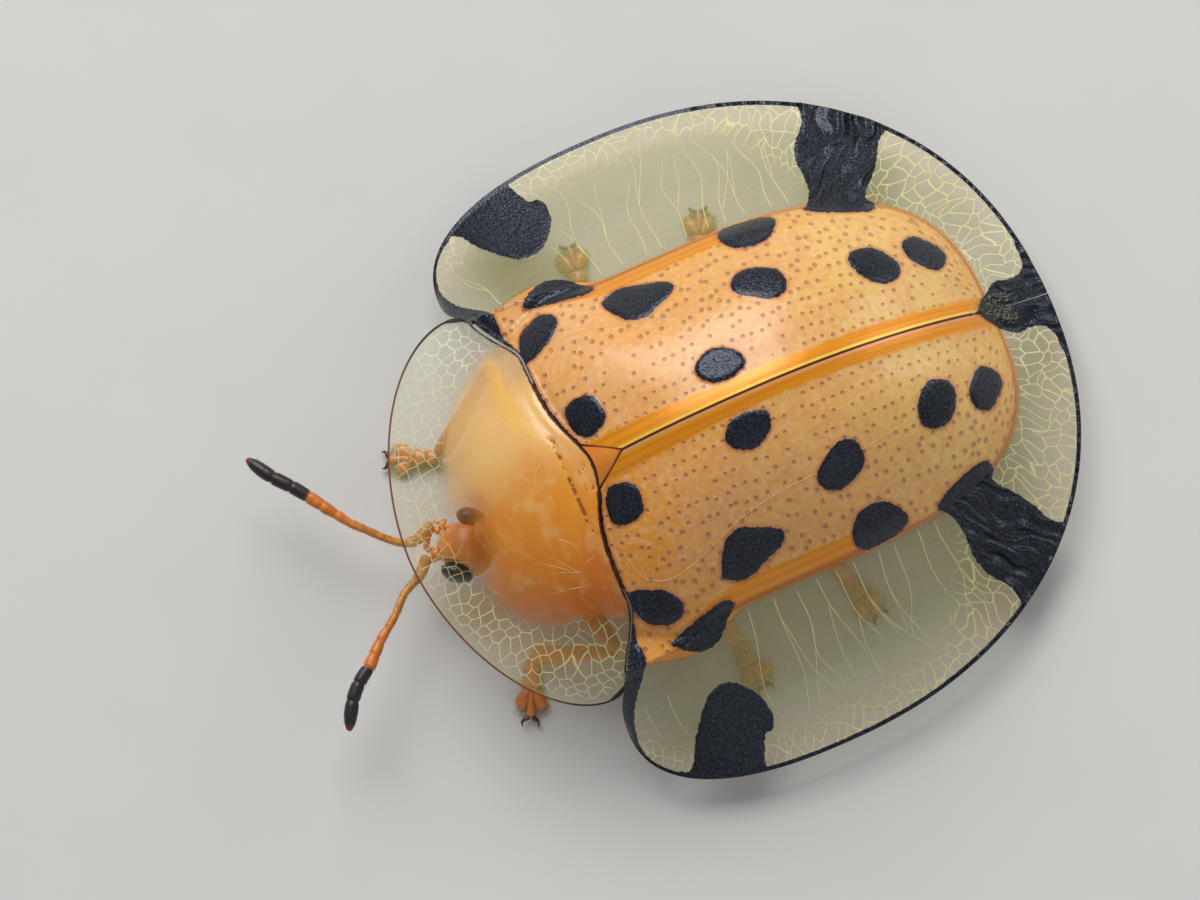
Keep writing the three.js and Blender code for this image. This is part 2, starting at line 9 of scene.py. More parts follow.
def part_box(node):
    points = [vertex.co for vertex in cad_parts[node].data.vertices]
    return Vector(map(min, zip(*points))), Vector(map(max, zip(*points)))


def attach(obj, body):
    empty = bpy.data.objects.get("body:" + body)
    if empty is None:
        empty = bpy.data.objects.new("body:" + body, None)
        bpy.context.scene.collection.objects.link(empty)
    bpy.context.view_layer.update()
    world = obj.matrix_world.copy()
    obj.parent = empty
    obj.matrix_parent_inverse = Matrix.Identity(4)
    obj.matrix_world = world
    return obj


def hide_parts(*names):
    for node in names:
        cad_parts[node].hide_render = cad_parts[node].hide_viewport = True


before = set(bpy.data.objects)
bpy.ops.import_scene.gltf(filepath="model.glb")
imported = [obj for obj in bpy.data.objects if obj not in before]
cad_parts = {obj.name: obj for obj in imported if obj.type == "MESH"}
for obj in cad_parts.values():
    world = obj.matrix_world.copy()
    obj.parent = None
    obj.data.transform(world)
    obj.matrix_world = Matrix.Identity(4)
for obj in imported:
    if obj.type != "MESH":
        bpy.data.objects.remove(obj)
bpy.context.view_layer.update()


# Wing cases. Two domed plates of amber horn, each with a wide clear margin that is netted with pale veins.
# The black marks are rough and stand a little proud; rows of small dark pits run along the dome.
# Each is one thin plate, laid out from the suture over the gutter to the rim, and mirrored for the right.
# Lengths are in millimetres; x runs to the beetle's left, y to its tail and z up
RIM_HEIGHT = 0.75
RIM_CENTRE_Y = 0.3
RIM_REACH = 7.3
DISC_CENTRE_Y = 1.0
DISC_REACH = 5.38
DISC_HALF_WIDTH = 3.52
DOME_RISE = 4.25
GUTTER_RISE = 2.0
GUTTER_FRONT_Y = -2.75
SUTURE_X = 0.007
SCUTELLUM_TIP_Y = -1.5
SCUTELLUM_HALF_WIDTH = 0.5
BASE_GAP = 0.04
CASE_THICK = 0.1
PIT_ROWS = 12
PIT_STEP = 0.21
MIDDLE_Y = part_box("elytron_left")[1].y * 1000 - RIM_CENTRE_Y - RIM_REACH


def ease(value, low, high):
    t = np.clip((value - low) / (high - low), 0, 1)
    return t * t * (3 - 2 * t)


def superellipse(centre, half, power, degrees):
    angle = np.radians(degrees)
    c, s = np.cos(angle), np.sin(angle)
    x = centre[0] + half[0] * np.sign(c) * np.abs(c) ** (2 / power)
    y = centre[1] + half[1] * np.sign(s) * np.abs(s) ** (2 / power)
    return np.column_stack([x, y])


def along(line, t):
    """Points of a line at even shares t of its length."""
    steps = np.linalg.norm(np.diff(line, axis=0), axis=1)
    reach = np.concatenate([[0], np.cumsum(steps)])
    return np.column_stack([np.interp(t * reach[-1], reach, line[:, i]) for i in range(line.shape[1])])


def smooth_line(points, closed=False, steps=10):
    """A smooth line through a few points."""
    p = np.array(points, float)
    p = np.vstack([p[-1], p, p[:2]]) if closed else np.vstack([2 * p[0] - p[1], p, 2 * p[-1] - p[-2]])
    out = []
    for a, b, c, d in zip(p, p[1:], p[2:], p[3:]):
        for t in np.arange(steps) / steps:
            out.append(0.5 * (2 * b + (c - a) * t + (2 * a - 5 * b + 4 * c - d) * t**2
                              + (3 * b - a - 3 * c + d) * t**3))
    return np.array(out if closed else out + [p[-2]])


def disc_half_width(y):
    return DISC_HALF_WIDTH + 0.33 * ease(-y, 0.3, 2.0)


def gutter_rise(y):
    return GUTTER_RISE - 1.2 * ease(y, 1.5, DISC_CENTRE_Y + DISC_REACH)


def disc_rise(x, y):
    """Height of the dome above the rim: a rounded mound on the gutter, with a low keel along the suture."""
    dy = y - DISC_CENTRE_Y
    reach = np.where(dy > 0, DISC_REACH, 5.0)
    ratio = (np.abs(x / disc_half_width(y)) ** 3 + np.abs(dy / reach) ** 3) ** (1 / 3)
    foot_y = DISC_CENTRE_Y + np.minimum(dy / np.maximum(ratio, 0.05), DISC_REACH)
    foot = gutter_rise(foot_y)
    swell = np.maximum(0, 1 - ratio**2.1) ** 0.9
    keel = 0.08 * np.exp(-((x / 0.35) ** 2)) * np.minimum(1, 4 * swell)
    return foot + (DOME_RISE - foot) * swell + keel


def shield_hind_y(x):
    return -2.62 + 0.45 * np.exp(-((x / 0.95) ** 2)) - 0.62 * ease(np.abs(x), 2.6, 4.0)


def case_base_y(x):
    corner = shield_hind_y(SCUTELLUM_HALF_WIDTH) + BASE_GAP
    beside = SCUTELLUM_TIP_Y + (corner - SCUTELLUM_TIP_Y) * x / SCUTELLUM_HALF_WIDTH
    return np.where(x < SCUTELLUM_HALF_WIDTH, beside, shield_hind_y(x) + BASE_GAP)


rim_line = np.vstack([
    superellipse((4.7, RIM_CENTRE_Y), (1.93, 3.93), 2.4, np.linspace(-90, 0, 120)[:-1]),
    superellipse((0, RIM_CENTRE_Y), (6.63, RIM_REACH), 2.2, np.linspace(0, 90, 240)),
])
gutter_y = np.linspace(GUTTER_FRONT_Y, DISC_CENTRE_Y, 80)[:-1]
gutter_line = np.vstack([
    np.column_stack([disc_half_width(gutter_y), gutter_y]),
    superellipse((0, DISC_CENTRE_Y), (DISC_HALF_WIDTH, DISC_REACH), 3, np.linspace(0, 90, 240)),
])

# Outlines of the left case's black marks: nine spots on the dome, then the hind bar, the tail patch,
# the front bar and the band along the front edge, which lie on the margin
BLACK_MARKS = [
    [(2.54, -2.56), (2.5, -2.42), (2.62, -2.12), (2.78, -1.84), (3.02, -1.66), (3.22, -1.69), (3.34, -1.92),
     (3.28, -2.2), (3.14, -2.42), (2.86, -2.56)],
    [(1.22, -2.25), (1.34, -2.0), (1.27, -1.67), (1.08, -1.58), (0.81, -1.56), (0.62, -1.69), (0.53, -2.0),
     (0.68, -2.2), (0.96, -2.28)],
    [(3.64, -2.14), (3.5, -1.7), (3.4, -1.24), (3.34, -0.88), (3.45, -0.7), (3.62, -0.92), (3.82, -1.1),
     (3.98, -1.34), (4.02, -1.64), (3.92, -1.9), (3.78, -2.08)],
    [(3.02, -0.69), (3.15, -0.3), (3.0, 0.2), (2.85, 0.6), (2.66, 0.71), (2.5, 0.52), (2.38, 0.2),
     (2.28, -0.02), (2.34, -0.33), (2.56, -0.54), (2.83, -0.69)],
    [(2.12, 1.71), (2.33, 1.86), (2.37, 2.15), (2.24, 2.5), (2.06, 2.71), (1.8, 2.75), (1.59, 2.62),
     (1.56, 2.34), (1.72, 2.05), (1.92, 1.78)],
    [(3.36, 1.92), (3.5, 2.08), (3.5, 2.45), (3.44, 2.85), (3.27, 3.12), (3.0, 2.97), (2.84, 2.75),
     (2.83, 2.43), (2.92, 2.15), (3.13, 1.97)],
    [(0.68, 0.37), (0.92, 0.46), (1.07, 0.8), (0.98, 1.08), (0.83, 1.27), (0.55, 1.34), (0.42, 1.15),
     (0.36, 0.88), (0.44, 0.56)],
    [(1.73, 4.05), (1.91, 4.16), (1.95, 4.41), (1.84, 4.68), (1.58, 4.88), (1.36, 4.96), (1.14, 4.87),
     (1.05, 4.58), (1.17, 4.34), (1.42, 4.13)],
    [(1.73, 5.19), (1.88, 5.33), (1.89, 5.54), (1.75, 5.7), (1.56, 5.88), (1.31, 5.96), (1.11, 5.81),
     (1.05, 5.62), (1.2, 5.42), (1.45, 5.22)],
    [(5.8, 4.75), (5.22, 4.54), (5.02, 4.42), (4.78, 4.2), (4.4, 4.05), (4.05, 4.05), (3.7, 4.02),
     (3.42, 3.9), (3.28, 3.73), (3.08, 4.0), (2.93, 4.35), (2.81, 4.67), (2.75, 5.0), (2.9, 5.1),
     (3.08, 5.0), (3.26, 5.08), (3.5, 5.33), (3.82, 5.56), (4.12, 5.72), (4.3, 5.9), (4.6, 6.4), (5.4, 6.0)],
    [(-0.2, 6.08), (0.12, 6.14), (0.36, 6.38), (0.56, 6.68), (0.53, 7.0), (0.6, 7.28), (0.86, 7.4),
     (1.25, 7.44), (1.0, 7.9), (-0.2, 7.9)],
    [(6.7, -1.5), (6.3, -1.36), (6.05, -1.25), (5.86, -1.14), (5.84, -0.98), (5.6, -0.87), (5.3, -0.9),
     (5.02, -1.05), (4.78, -1.28), (4.68, -1.55), (4.76, -1.85), (4.93, -2.05), (5.2, -2.29), (5.5, -2.52),
     (5.75, -2.65), (6.1, -2.95), (6.6, -2.6)],
    [(2.8, -2.62), (3.05, -2.68), (3.3, -2.76), (3.54, -2.74), (3.8, -2.77), (4.05, -2.98), (4.32, -3.25),
     (4.6, -3.42), (4.87, -3.5), (5.2, -3.5), (5.5, -3.38), (5.74, -3.17), (5.95, -2.85), (6.4, -3.2),
     (5.6, -4.0), (4.4, -4.0), (3.4, -3.5), (2.8, -2.85)],
]


def distance_to(outline, x, y):
    """Distance of points from a closed outline in millimetres, less than zero inside it."""
    a = outline[None]
    b = np.roll(outline, -1, axis=0)[None]
    p = np.column_stack([x, y])[:, None]
    edge = b - a
    share = np.clip(((p - a) * edge).sum(2) / (edge**2).sum(2), 0, 1)
    near = np.sqrt((((p - a) - share[..., None] * edge) ** 2).sum(2).min(1))
    crosses = (a[..., 1] > p[..., 1]) != (b[..., 1] > p[..., 1])
    cut = (b[..., 0] - a[..., 0]) * (p[..., 1] - a[..., 1]) / (b[..., 1] - a[..., 1] + 1e-12) + a[..., 0]
    inside = (crosses & (p[..., 0] < cut)).sum(1) % 2 == 1
    return np.where(inside, -near, near)


def nearest_mark(marks, x, y):
    """Distance from the nearest of several marks."""
    best = np.full(len(x), 9.0)
    for mark in marks:
        outline = smooth_line(mark, closed=True, steps=6)
        low, high = outline.min(0) - 0.6, outline.max(0) + 0.6
        close = (x > low[0]) & (x < high[0]) & (y > low[1]) & (y < high[1])
        if close.any():
            best[close] = np.minimum(best[close], distance_to(outline, x[close], y[close]))
    return best


def place(mesh):
    """Moves a mesh made in millimetres about the beetle's middle to its place in metres."""
    mesh.transform(Matrix.Scale(0.001, 4) @ Matrix.Translation((0, MIDDLE_Y, 0)))


def measured(mesh, **values):
    """Keeps numbers at the mesh's points for its finish to read."""
    for name, numbers in values.items():
        kind, key = ("FLOAT_VECTOR", "vector") if np.ndim(numbers) == 2 else ("FLOAT", "value")
        mesh.attributes.new(name, kind, "POINT").data.foreach_set(key, np.ravel(numbers).astype(np.float32))


def put_in_scene(name, data):
    made = bpy.data.objects.new(name, data)
    bpy.context.collection.objects.link(made)
    return made


def plate(name, columns, rows, shape, thick, finishes, side=1, parting=2.0):
    """A thin curved plate: shape(u, v) gives the points of its upper face and what its finish reads.
    The faces beyond the parting take the second finish, and its underside the later ones."""
    bm = bmesh.new()
    bmesh.ops.create_grid(bm, x_segments=columns, y_segments=rows, size=0.5)
    uv = np.array([v.co[:2] for v in bm.verts]) + 0.5
    points, values = shape(uv[:, 0], uv[:, 1])
    for face in bm.faces:
        face.material_index = int(face.calc_center_median().x + 0.5 > parting)
    for vertex, point in zip(bm.verts, points):
        vertex.co = (side * point[0], point[1], point[2])
    if side < 0:
        bmesh.ops.reverse_faces(bm, faces=bm.faces)
    mesh = bpy.data.meshes.new(name)
    bm.to_mesh(mesh)
    bm.free()
    measured(mesh, **values)
    mesh.shade_smooth()
    for finish in finishes:
        mesh.materials.append(finish.material)
    piece = put_in_scene(name, mesh)
    wall = piece.modifiers.new("wall", "SOLIDIFY")
    wall.thickness = thick
    wall.offset = -1
    wall.material_offset = len(finishes) // 2
    bpy.context.view_layer.update()
    whole = bpy.data.meshes.new_from_object(piece.evaluated_get(bpy.context.evaluated_depsgraph_get()))
    piece.modifiers.clear()
    piece.data = whole
    whole.set_sharp_from_angle(angle=math.radians(55))
    place(whole)
    return piece


# The amber horn reaches out over the margin at the shoulder
SHOULDER = [(3.0, -2.9), (3.5, -2.76), (3.78, -2.72), (3.86, -2.5), (3.95, -2.1), (3.98, -1.7), (3.8, -1.25),
            (3.62, -0.8), (3.4, -0.5), (3.2, -1.5)]


def case_shape(u, v):
    """The left case: u runs from the suture over the gutter at 0.5 to the rim, v from the base to the tail.
    Its finishes read how far each point is from the gutter, the rim, the nearest mark and the suture."""
    gutter = along(gutter_line, v)
    rim = along(rim_line, v)
    inner = np.clip(u / 0.5, 0, 1)
    out = np.clip((u - 0.5) / 0.5, 0, 1)
    on_disc = u <= 0.5
    suture_y = SCUTELLUM_TIP_Y + (4.0 - SCUTELLUM_TIP_Y) * v
    suture = np.column_stack([0 * v + SUTURE_X, suture_y])
    x, y = np.where(on_disc[:, None], suture + (gutter - suture) * inner[:, None],
                    gutter + (rim - gutter) * out[:, None]).T
    front_line = SCUTELLUM_TIP_Y + (GUTTER_FRONT_Y - SCUTELLUM_TIP_Y) * inner
    corner = (case_base_y(gutter[:, 0]) - GUTTER_FRONT_Y) * (1 - out) - 0.12 * np.sin(np.pi * out)
    y = y + (1 - v) ** 5 * np.where(on_disc, case_base_y(x) - front_line, corner)
    x = np.maximum(x, SUTURE_X)

    wide = np.linalg.norm(rim - gutter, axis=1)
    half = np.maximum(0.05, np.hypot(gutter[:, 0], gutter[:, 1] - suture_y))
    shoulder = distance_to(smooth_line(SHOULDER, closed=True, steps=6), x, y)
    margin = np.where(on_disc, (inner - 1) * half, np.minimum(out * wide, shoulder))
    to_rim = np.where(on_disc, wide, (1 - out) * wide)
    to_base = np.where((x > SCUTELLUM_HALF_WIDTH) & (x < 4.0), y - case_base_y(x), 9.0)
    black = np.minimum(nearest_mark(BLACK_MARKS, x, y), to_base - 0.025)

    # The marks stand proud, the hind bar is pleated, a fold runs along the gutter and the rim is turned up
    slope = (1 - out) * (0.88 + 0.12 * (1 - out))
    z = np.where(on_disc, disc_rise(x, y), gutter_rise(gutter[:, 1]) * slope) - 0.03
    proud = ease(-black, -0.015, 0.06) * ease(to_base, 0.0, 0.2)
    z = z + np.where(on_disc, 0.045, 0.02) * proud
    fold = ease(margin, -0.5, -0.3) * ease(-margin, 0.0, 0.2)
    z = z + 0.05 * fold * ease(-y, -4.0, -2.5) * ease(y, -1.6, -0.8)
    z = z - 0.04 * ease(-np.abs(to_base - 0.14), -0.1, 0.0)
    bar = proud * ease(y, 3.6, 4.2) * ease(margin, 0.0, 0.5)
    turn = np.arctan2(y - DISC_CENTRE_Y, x)
    z = z + 0.03 * bar * (np.sin(25 * turn) + 0.7 * np.sin(61 * turn + 2 * margin))
    z = z + 0.03 * ease(-to_rim, -0.09, -0.02)

    # The rows of pits run along the dome and draw together towards its ends
    from_middle = np.abs(y - DISC_CENTRE_Y) / np.where(y > DISC_CENTRE_Y, DISC_REACH, 8.5)
    span = 3.5 * np.maximum(1e-3, 1 - np.clip(from_middle, 0, 1) ** 3) ** (1 / 3)
    rows = np.column_stack([x / span * PIT_ROWS, y / PIT_STEP, span / PIT_ROWS])
    points = np.column_stack([x, y, RIM_HEIGHT + z])
    return points, {"margin": margin, "to_rim": to_rim, "black": black, "rows": rows, "suture": x}


class Value:
    """A number or colour at a material's surface."""

    def __init__(self, finish, socket):
        self.finish = finish
        self.socket = socket


def reckon(sign, operation):
    """Lets a sign between a Value and a number or Value add a Math node."""
    setattr(Value, f"__{sign}__", lambda self, other: self.finish.maths(operation, self, other))
    setattr(Value, f"__r{sign}__", lambda self, other: self.finish.maths(operation, other, self))


reckon("add", "ADD")
reckon("sub", "SUBTRACT")
reckon("mul", "MULTIPLY")
reckon("truediv", "DIVIDE")
reckon("pow", "POWER")


def tint(red, green, blue):
    """A colour as it is seen, from 0 to 255, as the light that a shader needs."""
    seen = np.array([red, green, blue]) / 255
    light = np.where(seen > 0.04045, ((seen + 0.055) / 1.055) ** 2.4, seen / 12.92)
    return (*light.tolist(), 1.0)


class Finish:
    """A material with its nodes. The sizes of its patterns are in millimetres."""

    def __init__(self, name):
        self.material = bpy.data.materials.new(name)
        self.material.use_nodes = True
        self.tree = self.material.node_tree
        self.shader = self.tree.nodes["Principled BSDF"]
        coordinates = self.node("ShaderNodeTexCoord", out="Object")
        self.place = self.node("ShaderNodeVectorMath", {"operation": "SCALE"},
                               {0: coordinates, "Scale": 1000.0})

    def node(self, kind, settings=(), values=(), out=0):
        made = self.tree.nodes.new(kind)
        for key, setting in dict(settings).items():
            setattr(made, key, setting)
        pairs = values.items() if isinstance(values, dict) else enumerate(values)
        for key, value in pairs:
            self.feed(made.inputs[key], value)
        return Value(self, made.outputs[out])

    def feed(self, socket, value):
        if isinstance(value, Value):
            self.tree.links.new(value.socket, socket)
        else:
            socket.default_value = value

    def maths(self, operation, *values):
        return self.node("ShaderNodeMath", {"operation": operation}, values)

    def kept(self, name, out="Fac"):
        return self.node("ShaderNodeAttribute", {"attribute_name": name}, out=out)

    def noise(self, scale, detail, vector=None):
        return self.node("ShaderNodeTexNoise", (), {"Vector": vector or self.place, "Scale": scale,
                                                    "Detail": detail, "Roughness": 0.55})

    def net(self, scale, vector, randomness):
        """Distance from the nearest thread of a net, as a share of a mesh."""
        return self.node("ShaderNodeTexVoronoi", {"feature": "DISTANCE_TO_EDGE", "voronoi_dimensions": "2D"},
                         {"Vector": vector, "Scale": scale, "Randomness": randomness})

    def step(self, value, low, high, bottom=0.0, top=1.0):
        return self.node("ShaderNodeMapRange", {"interpolation_type": "SMOOTHSTEP"},
                         (value, low, high, bottom, top))

    def choose(self, share, first, second):
        """One number, or the other where the share is one."""
        return self.node("ShaderNodeMix", {"data_type": "FLOAT"}, {0: share, 2: first, 3: second})

    def mix(self, share, first, second):
        return self.node("ShaderNodeMix", {"data_type": "RGBA", "clamp_factor": True},
                         {0: share, 6: first, 7: second}, out=2)

    def parts(self, vector):
        split = self.node("ShaderNodeSeparateXYZ", (), (vector,))
        outputs = split.socket.node.outputs
        return [Value(self, outputs[i]) for i in range(3)]

    def joined(self, x, y, z=0.0):
        return self.node("ShaderNodeCombineXYZ", (), (x, y, z))

    def set(self, **sockets):
        for name, value in sockets.items():
            self.feed(self.shader.inputs[name.replace("_", " ")], value)

    def relief(self, height):
        """Bump from a height in millimetres."""
        bump = {"Strength": 1.0, "Distance": 0.001, "Height": height}
        self.set(Normal=self.node("ShaderNodeBump", (), bump))


def mottled(name, scale, detail, first, second, **sockets):
    """A finish that drifts between two tones."""
    made = Finish(name)
    made.set(Base_Color=made.mix(made.noise(scale, detail), tint(*first), tint(*second)), **sockets)
    return made


def black_horn(finish):
    """Where the black marks are, with their ragged edge, and the colour (with painted shade in its dimples),
    roughness and height they have.
    """
    ragged = 0.06 * (finish.noise(9.0, 2.0) - 0.5)
    grain = finish.noise(20.0, 1.0)
    hollow = finish.step(ragged, -0.0135, -0.019)
    mark = 1 - finish.step(finish.kept("black") + 1.3 * ragged, -0.01, 0.01)
    edge = 1 - finish.step(finish.kept("to_rim") + 0.4 * ragged, 0.08, 0.1)
    where = finish.maths("MAXIMUM", mark, edge)
    colour = finish.mix(finish.step(grain, 0.3, 0.7), tint(28, 31, 37), tint(54, 60, 72))
    # Painted shade: the dimples of the marks are sunk and also painted darker
    colour = finish.mix(0.8 * hollow, colour, tint(12, 12, 14))
    return ragged, where, colour, 0.18 + 0.16 * grain, 0.014 * grain - 0.02 * hollow


shell = Finish("amber wing case")
step, mix = shell.step, shell.mix
margin, suture = shell.kept("margin"), shell.kept("suture")
ragged, marked, black_colour, black_rough, black_height = black_horn(shell)
x, y, z = shell.parts(shell.place)
cloud = shell.noise(0.6, 1.0)
fine = shell.noise(2.2, 2.0)
colour = mix(step(y + 3.0 * (cloud - 0.5), -2.6, 2.4), tint(240, 154, 36), tint(232, 172, 92))
colour = mix(step(y + 2.0 * (cloud - 0.5), 2.6, 5.2), colour, tint(232, 190, 104))
colour = mix(0.55 * step(fine + 0.5 * (cloud - 0.5), 0.45, 0.62), colour, tint(230, 162, 96))
colour = mix(0.45 * step(margin, -0.8, -0.2), colour, tint(232, 164, 50))
mottle = shell.noise(7.0, 2.0)
colour = mix(0.5 * step(mottle, 0.5, 0.7), colour, tint(242, 194, 140))
colour = mix(0.3 * step(mottle, 0.47, 0.32), colour, tint(206, 124, 72))
left = step(x, -0.005, 0.005)
# Painted light: the front half of the right case, the side towards the strong light, is painted paler
colour = mix(0.25 * (1 - left) * step(y, 1.5, -1.5), colour, tint(246, 206, 160))
suture_reach = 0.3 + 0.12 * step(y, 2.0, -1.2)
gold = 1 - step(suture - suture_reach + 2.6 * ragged, -0.06, 0.09)
side_gold = step(margin + 3 * ragged, -0.42, -0.32) * step(y, 4.4, 2.2) * step(y, -1.6, -0.6)
smooth = step(gold + side_gold, 0, 1)
ribbed = step(shell.noise(1.0, 1.0, shell.joined(suture * 14.0, y * 0.3)), 0.4, 0.6)
colour = mix(smooth, colour, mix(0.5 * ribbed, tint(234, 138, 0), tint(248, 170, 8)))
colour = mix(step(suture, 0.1, 0.06) * left, colour, tint(232, 164, 110))
# Painted highlight: a bright yellow strip along the suture, on the right case only
colour = mix(step(suture, 0.1, 0.06) * (1 - left), colour, tint(255, 214, 84))
colour = mix(1 - step(suture, 0.022, 0.034), colour, tint(124, 56, 10))
colour = mix(step(margin, -0.1, -0.02) * 0.8, colour, tint(170, 96, 22))
stain = 0.6 * (1 - step(shell.kept("black") + ragged, 0.0, 0.09))
colour = mix(stain, colour, tint(168, 84, 46))

# Pits: one in each step of each row, shifted and sized by chance
row, step_on, spacing = shell.parts(shell.kept("rows", "Vector"))
row_number = shell.maths("FLOOR", row)
step_on = step_on + 0.5 * shell.maths("MODULO", row_number, 2.0)
step_number = shell.maths("FLOOR", step_on)
chance = shell.node("ShaderNodeTexWhiteNoise", {"noise_dimensions": "3D"},
                    {"Vector": shell.joined(row_number, step_number, step(x, -0.01, 0.01))}, out="Color")
shift_x, shift_y, size = shell.parts(chance)
far_out = step(suture, 0.8, 2.4)
loose = 0.22 + 0.42 * far_out
off_x = (row - row_number - 0.5 - loose * (shift_x - 0.5)) * spacing
off_y = (step_on - step_number - 0.5 - 1.2 * loose * (shift_y - 0.5)) * PIT_STEP
away = (off_x**2.0 + off_y**2.0) ** 0.5 / (0.02 + 0.012 * size + 0.008 * far_out)
few = step(size, 0.2, 0.22) * step(spacing, 0.1, 0.16) * (1 - smooth)
pit = (1 - step(away, 0.7, 1.45)) * few
ring = pit * step(away, 0.25, 0.9)
round_pit = (1 - step(away, 1.2, 2.4)) * few
colour = mix(0.22 * round_pit, colour, tint(204, 126, 92))
colour = mix(0.3 * pit + 0.2 * ring, colour, tint(124, 70, 50))
shell.set(
    Base_Color=mix(marked, colour, black_colour),
    Roughness=shell.choose(marked, 0.3 + 0.12 * fine, black_rough),
    Metallic=marked * 0.6 + (1 - marked) * smooth * 0.25,
    Coat_Weight=(1 - marked) * (0.4 - 0.25 * smooth),
    Coat_Roughness=0.2,
    IOR=1.5,
    Subsurface_Weight=0.1,
    Subsurface_Scale=0.0003,
    Subsurface_Radius=(1.0, 0.45, 0.15),
)
shell.relief(0.012 * fine - 0.022 * pit * (1 - marked) + black_height * marked)


film = Finish("clear wing case margin")
step, mix = film.step, film.mix
margin, to_rim = film.kept("margin"), film.kept("to_rim")
ragged, marked, black_colour, black_rough, black_height = black_horn(film)
x, y, z = film.parts(film.place)
netted = step(to_rim - 1.6 * step(y, 3.2, 5.2), 0.15, 1.1, 1.0, 0.0)
y_out = y - MIDDLE_Y - DISC_CENTRE_Y
angle = film.maths("ARCTAN2", x, y_out)
outward = (x**2.0 + y_out**2.0) ** 0.5
drift = film.noise(1.6, 0.0)
net = film.net(4.6, film.joined(angle * 6.0 + 0.5 * drift, outward * 0.62 + 0.4 * drift), 0.9)
net = (1 - step(net, 0.02, 0.085)) * netted
folds = film.noise(1.0, 1.0, film.joined(angle * 22.0 + 2.0 * drift, outward * 0.7)) * step(y, 3.0, 3.8)
clear = step(margin + 1.4 * ragged, 0.0, 0.04) * (1 - marked)
haze = step(ragged, -0.01, 0.012)
tone = mix(step(to_rim, 1.3, 0.2), tint(206, 200, 124), tint(204, 180, 84))
tone = mix(0.9 * net, tone, tint(240, 228, 156))
amber = mix(ragged * 12 + 0.5, tint(206, 130, 30), tint(222, 156, 52))
tone = mix(step(margin + ragged, 0.02, 0.08), amber, tone)
film.set(Base_Color=mix(marked, tone, black_colour), Alpha=1 - clear * (0.75 - 0.4 * net - 0.06 * haze),
         Roughness=film.choose(marked, 0.2, black_rough), Metallic=marked * 0.6,
         Coat_Weight=(1 - marked) * 0.3, Coat_Roughness=0.1, IOR=1.5)
film.relief((black_height + 0.4 * folds) * marked + 0.15 * ragged)

inner_horn = mottled("brown underside of the wing cases", 1.5, 3.0, (178, 104, 40), (206, 138, 62),
                     Roughness=0.4)
inner_film = Finish("clear underside of the margin")
inner_film.set(Base_Color=tint(214, 210, 150), Roughness=0.25, IOR=1.4,
               Alpha=inner_film.step(inner_film.kept("margin"), 0.0, 0.05, 1.0, 0.06))

VEIN_STEP = 0.03872
VEIN_HALF_THICK = 0.011
FORK_HALF_THICK = 0.009
TAIL_HAIRS = 60
chance = np.random.default_rng(4)


def piece_from(bm, name, finish, slot, *nodes):
    """Makes a finished piece of a mesh in millimetres, riding on the beetle and standing for CAD nodes."""
    mesh = bpy.data.meshes.new(name)
    bm.to_mesh(mesh)
    bm.free()
    mesh.shade_smooth()
    place(mesh)
    mesh.materials.append(finish.material)
    made = put_in_scene(name, mesh)
    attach(made, "root")
    if nodes:
        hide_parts(*nodes)
    return made


def ball(bm, sides, rings, move):
    """A round closed skin: move(t, angle) places its points, t from pole to pole and angle round them."""
    verts = bmesh.ops.create_uvsphere(bm, u_segments=sides, v_segments=rings, radius=1)["verts"]
    co = np.array([v.co for v in verts])
    t = np.arccos(np.clip(co[:, 2], -1, 1)) / np.pi
    for vertex, point in zip(verts, move(t, np.arctan2(co[:, 1], co[:, 0]))):
        vertex.co = point
    return verts, t


def bent_tube(bm, line, wide, high=None, sides=16, rings=40):
    """A rounded tube along a smooth line; wide(t) and high(t) are its half width and half height."""
    line = np.array(line, float)
    high = high or wide

    def move(t, angle):
        centre = along(line, t)
        ahead = along(line, np.minimum(1, t + 0.004)) - along(line, np.maximum(0, t - 0.004))
        ahead /= np.linalg.norm(ahead, axis=1)[:, None]
        aside = np.cross([0, 0, 1], ahead)
        aside /= np.linalg.norm(aside, axis=1)[:, None] + 1e-9
        above = np.cross(ahead, aside)
        across, up = wide(t) * np.cos(angle), high(t) * np.sin(angle)
        return centre + across[:, None] * aside + up[:, None] * above

    return ball(bm, sides, rings, move)


def vein(bm, start, reach, lean, thick, side):
    """A pale thread on a margin, from a share of the way out to another; it may fork once."""
    outs = np.linspace(start[1], reach, 12)
    share = outs - start[1]
    sway = 0.005 * np.sin(share * chance.uniform(6, 14) + chance.uniform(0, 6)) * share / 0.3
    on = np.clip(start[0] + lean * share + sway, 0.004, 0.998)
    points, kept = case_shape(0.5 + 0.5 * outs, on)
    clear = np.cumprod((kept["black"] > 0.03) & (kept["margin"] > 0)).sum()
    if clear > 3:
        points[:, 0] *= side
        bent_tube(bm, points[:clear], lambda t: thick * (1 - 0.55 * t), sides=5, rings=14)
    return on, outs


def hair(bm, root, towards_tip, length, thick):
    turn = Vector(towards_tip).to_track_quat("Z", "Y").to_matrix().to_4x4()
    middle = Vector(root) + Vector(towards_tip).normalized() * length * 0.45
    return bmesh.ops.create_cone(bm, cap_ends=True, segments=3, radius1=thick, radius2=0.0, depth=length,
                                 matrix=Matrix.Translation(middle) @ turn)["verts"]


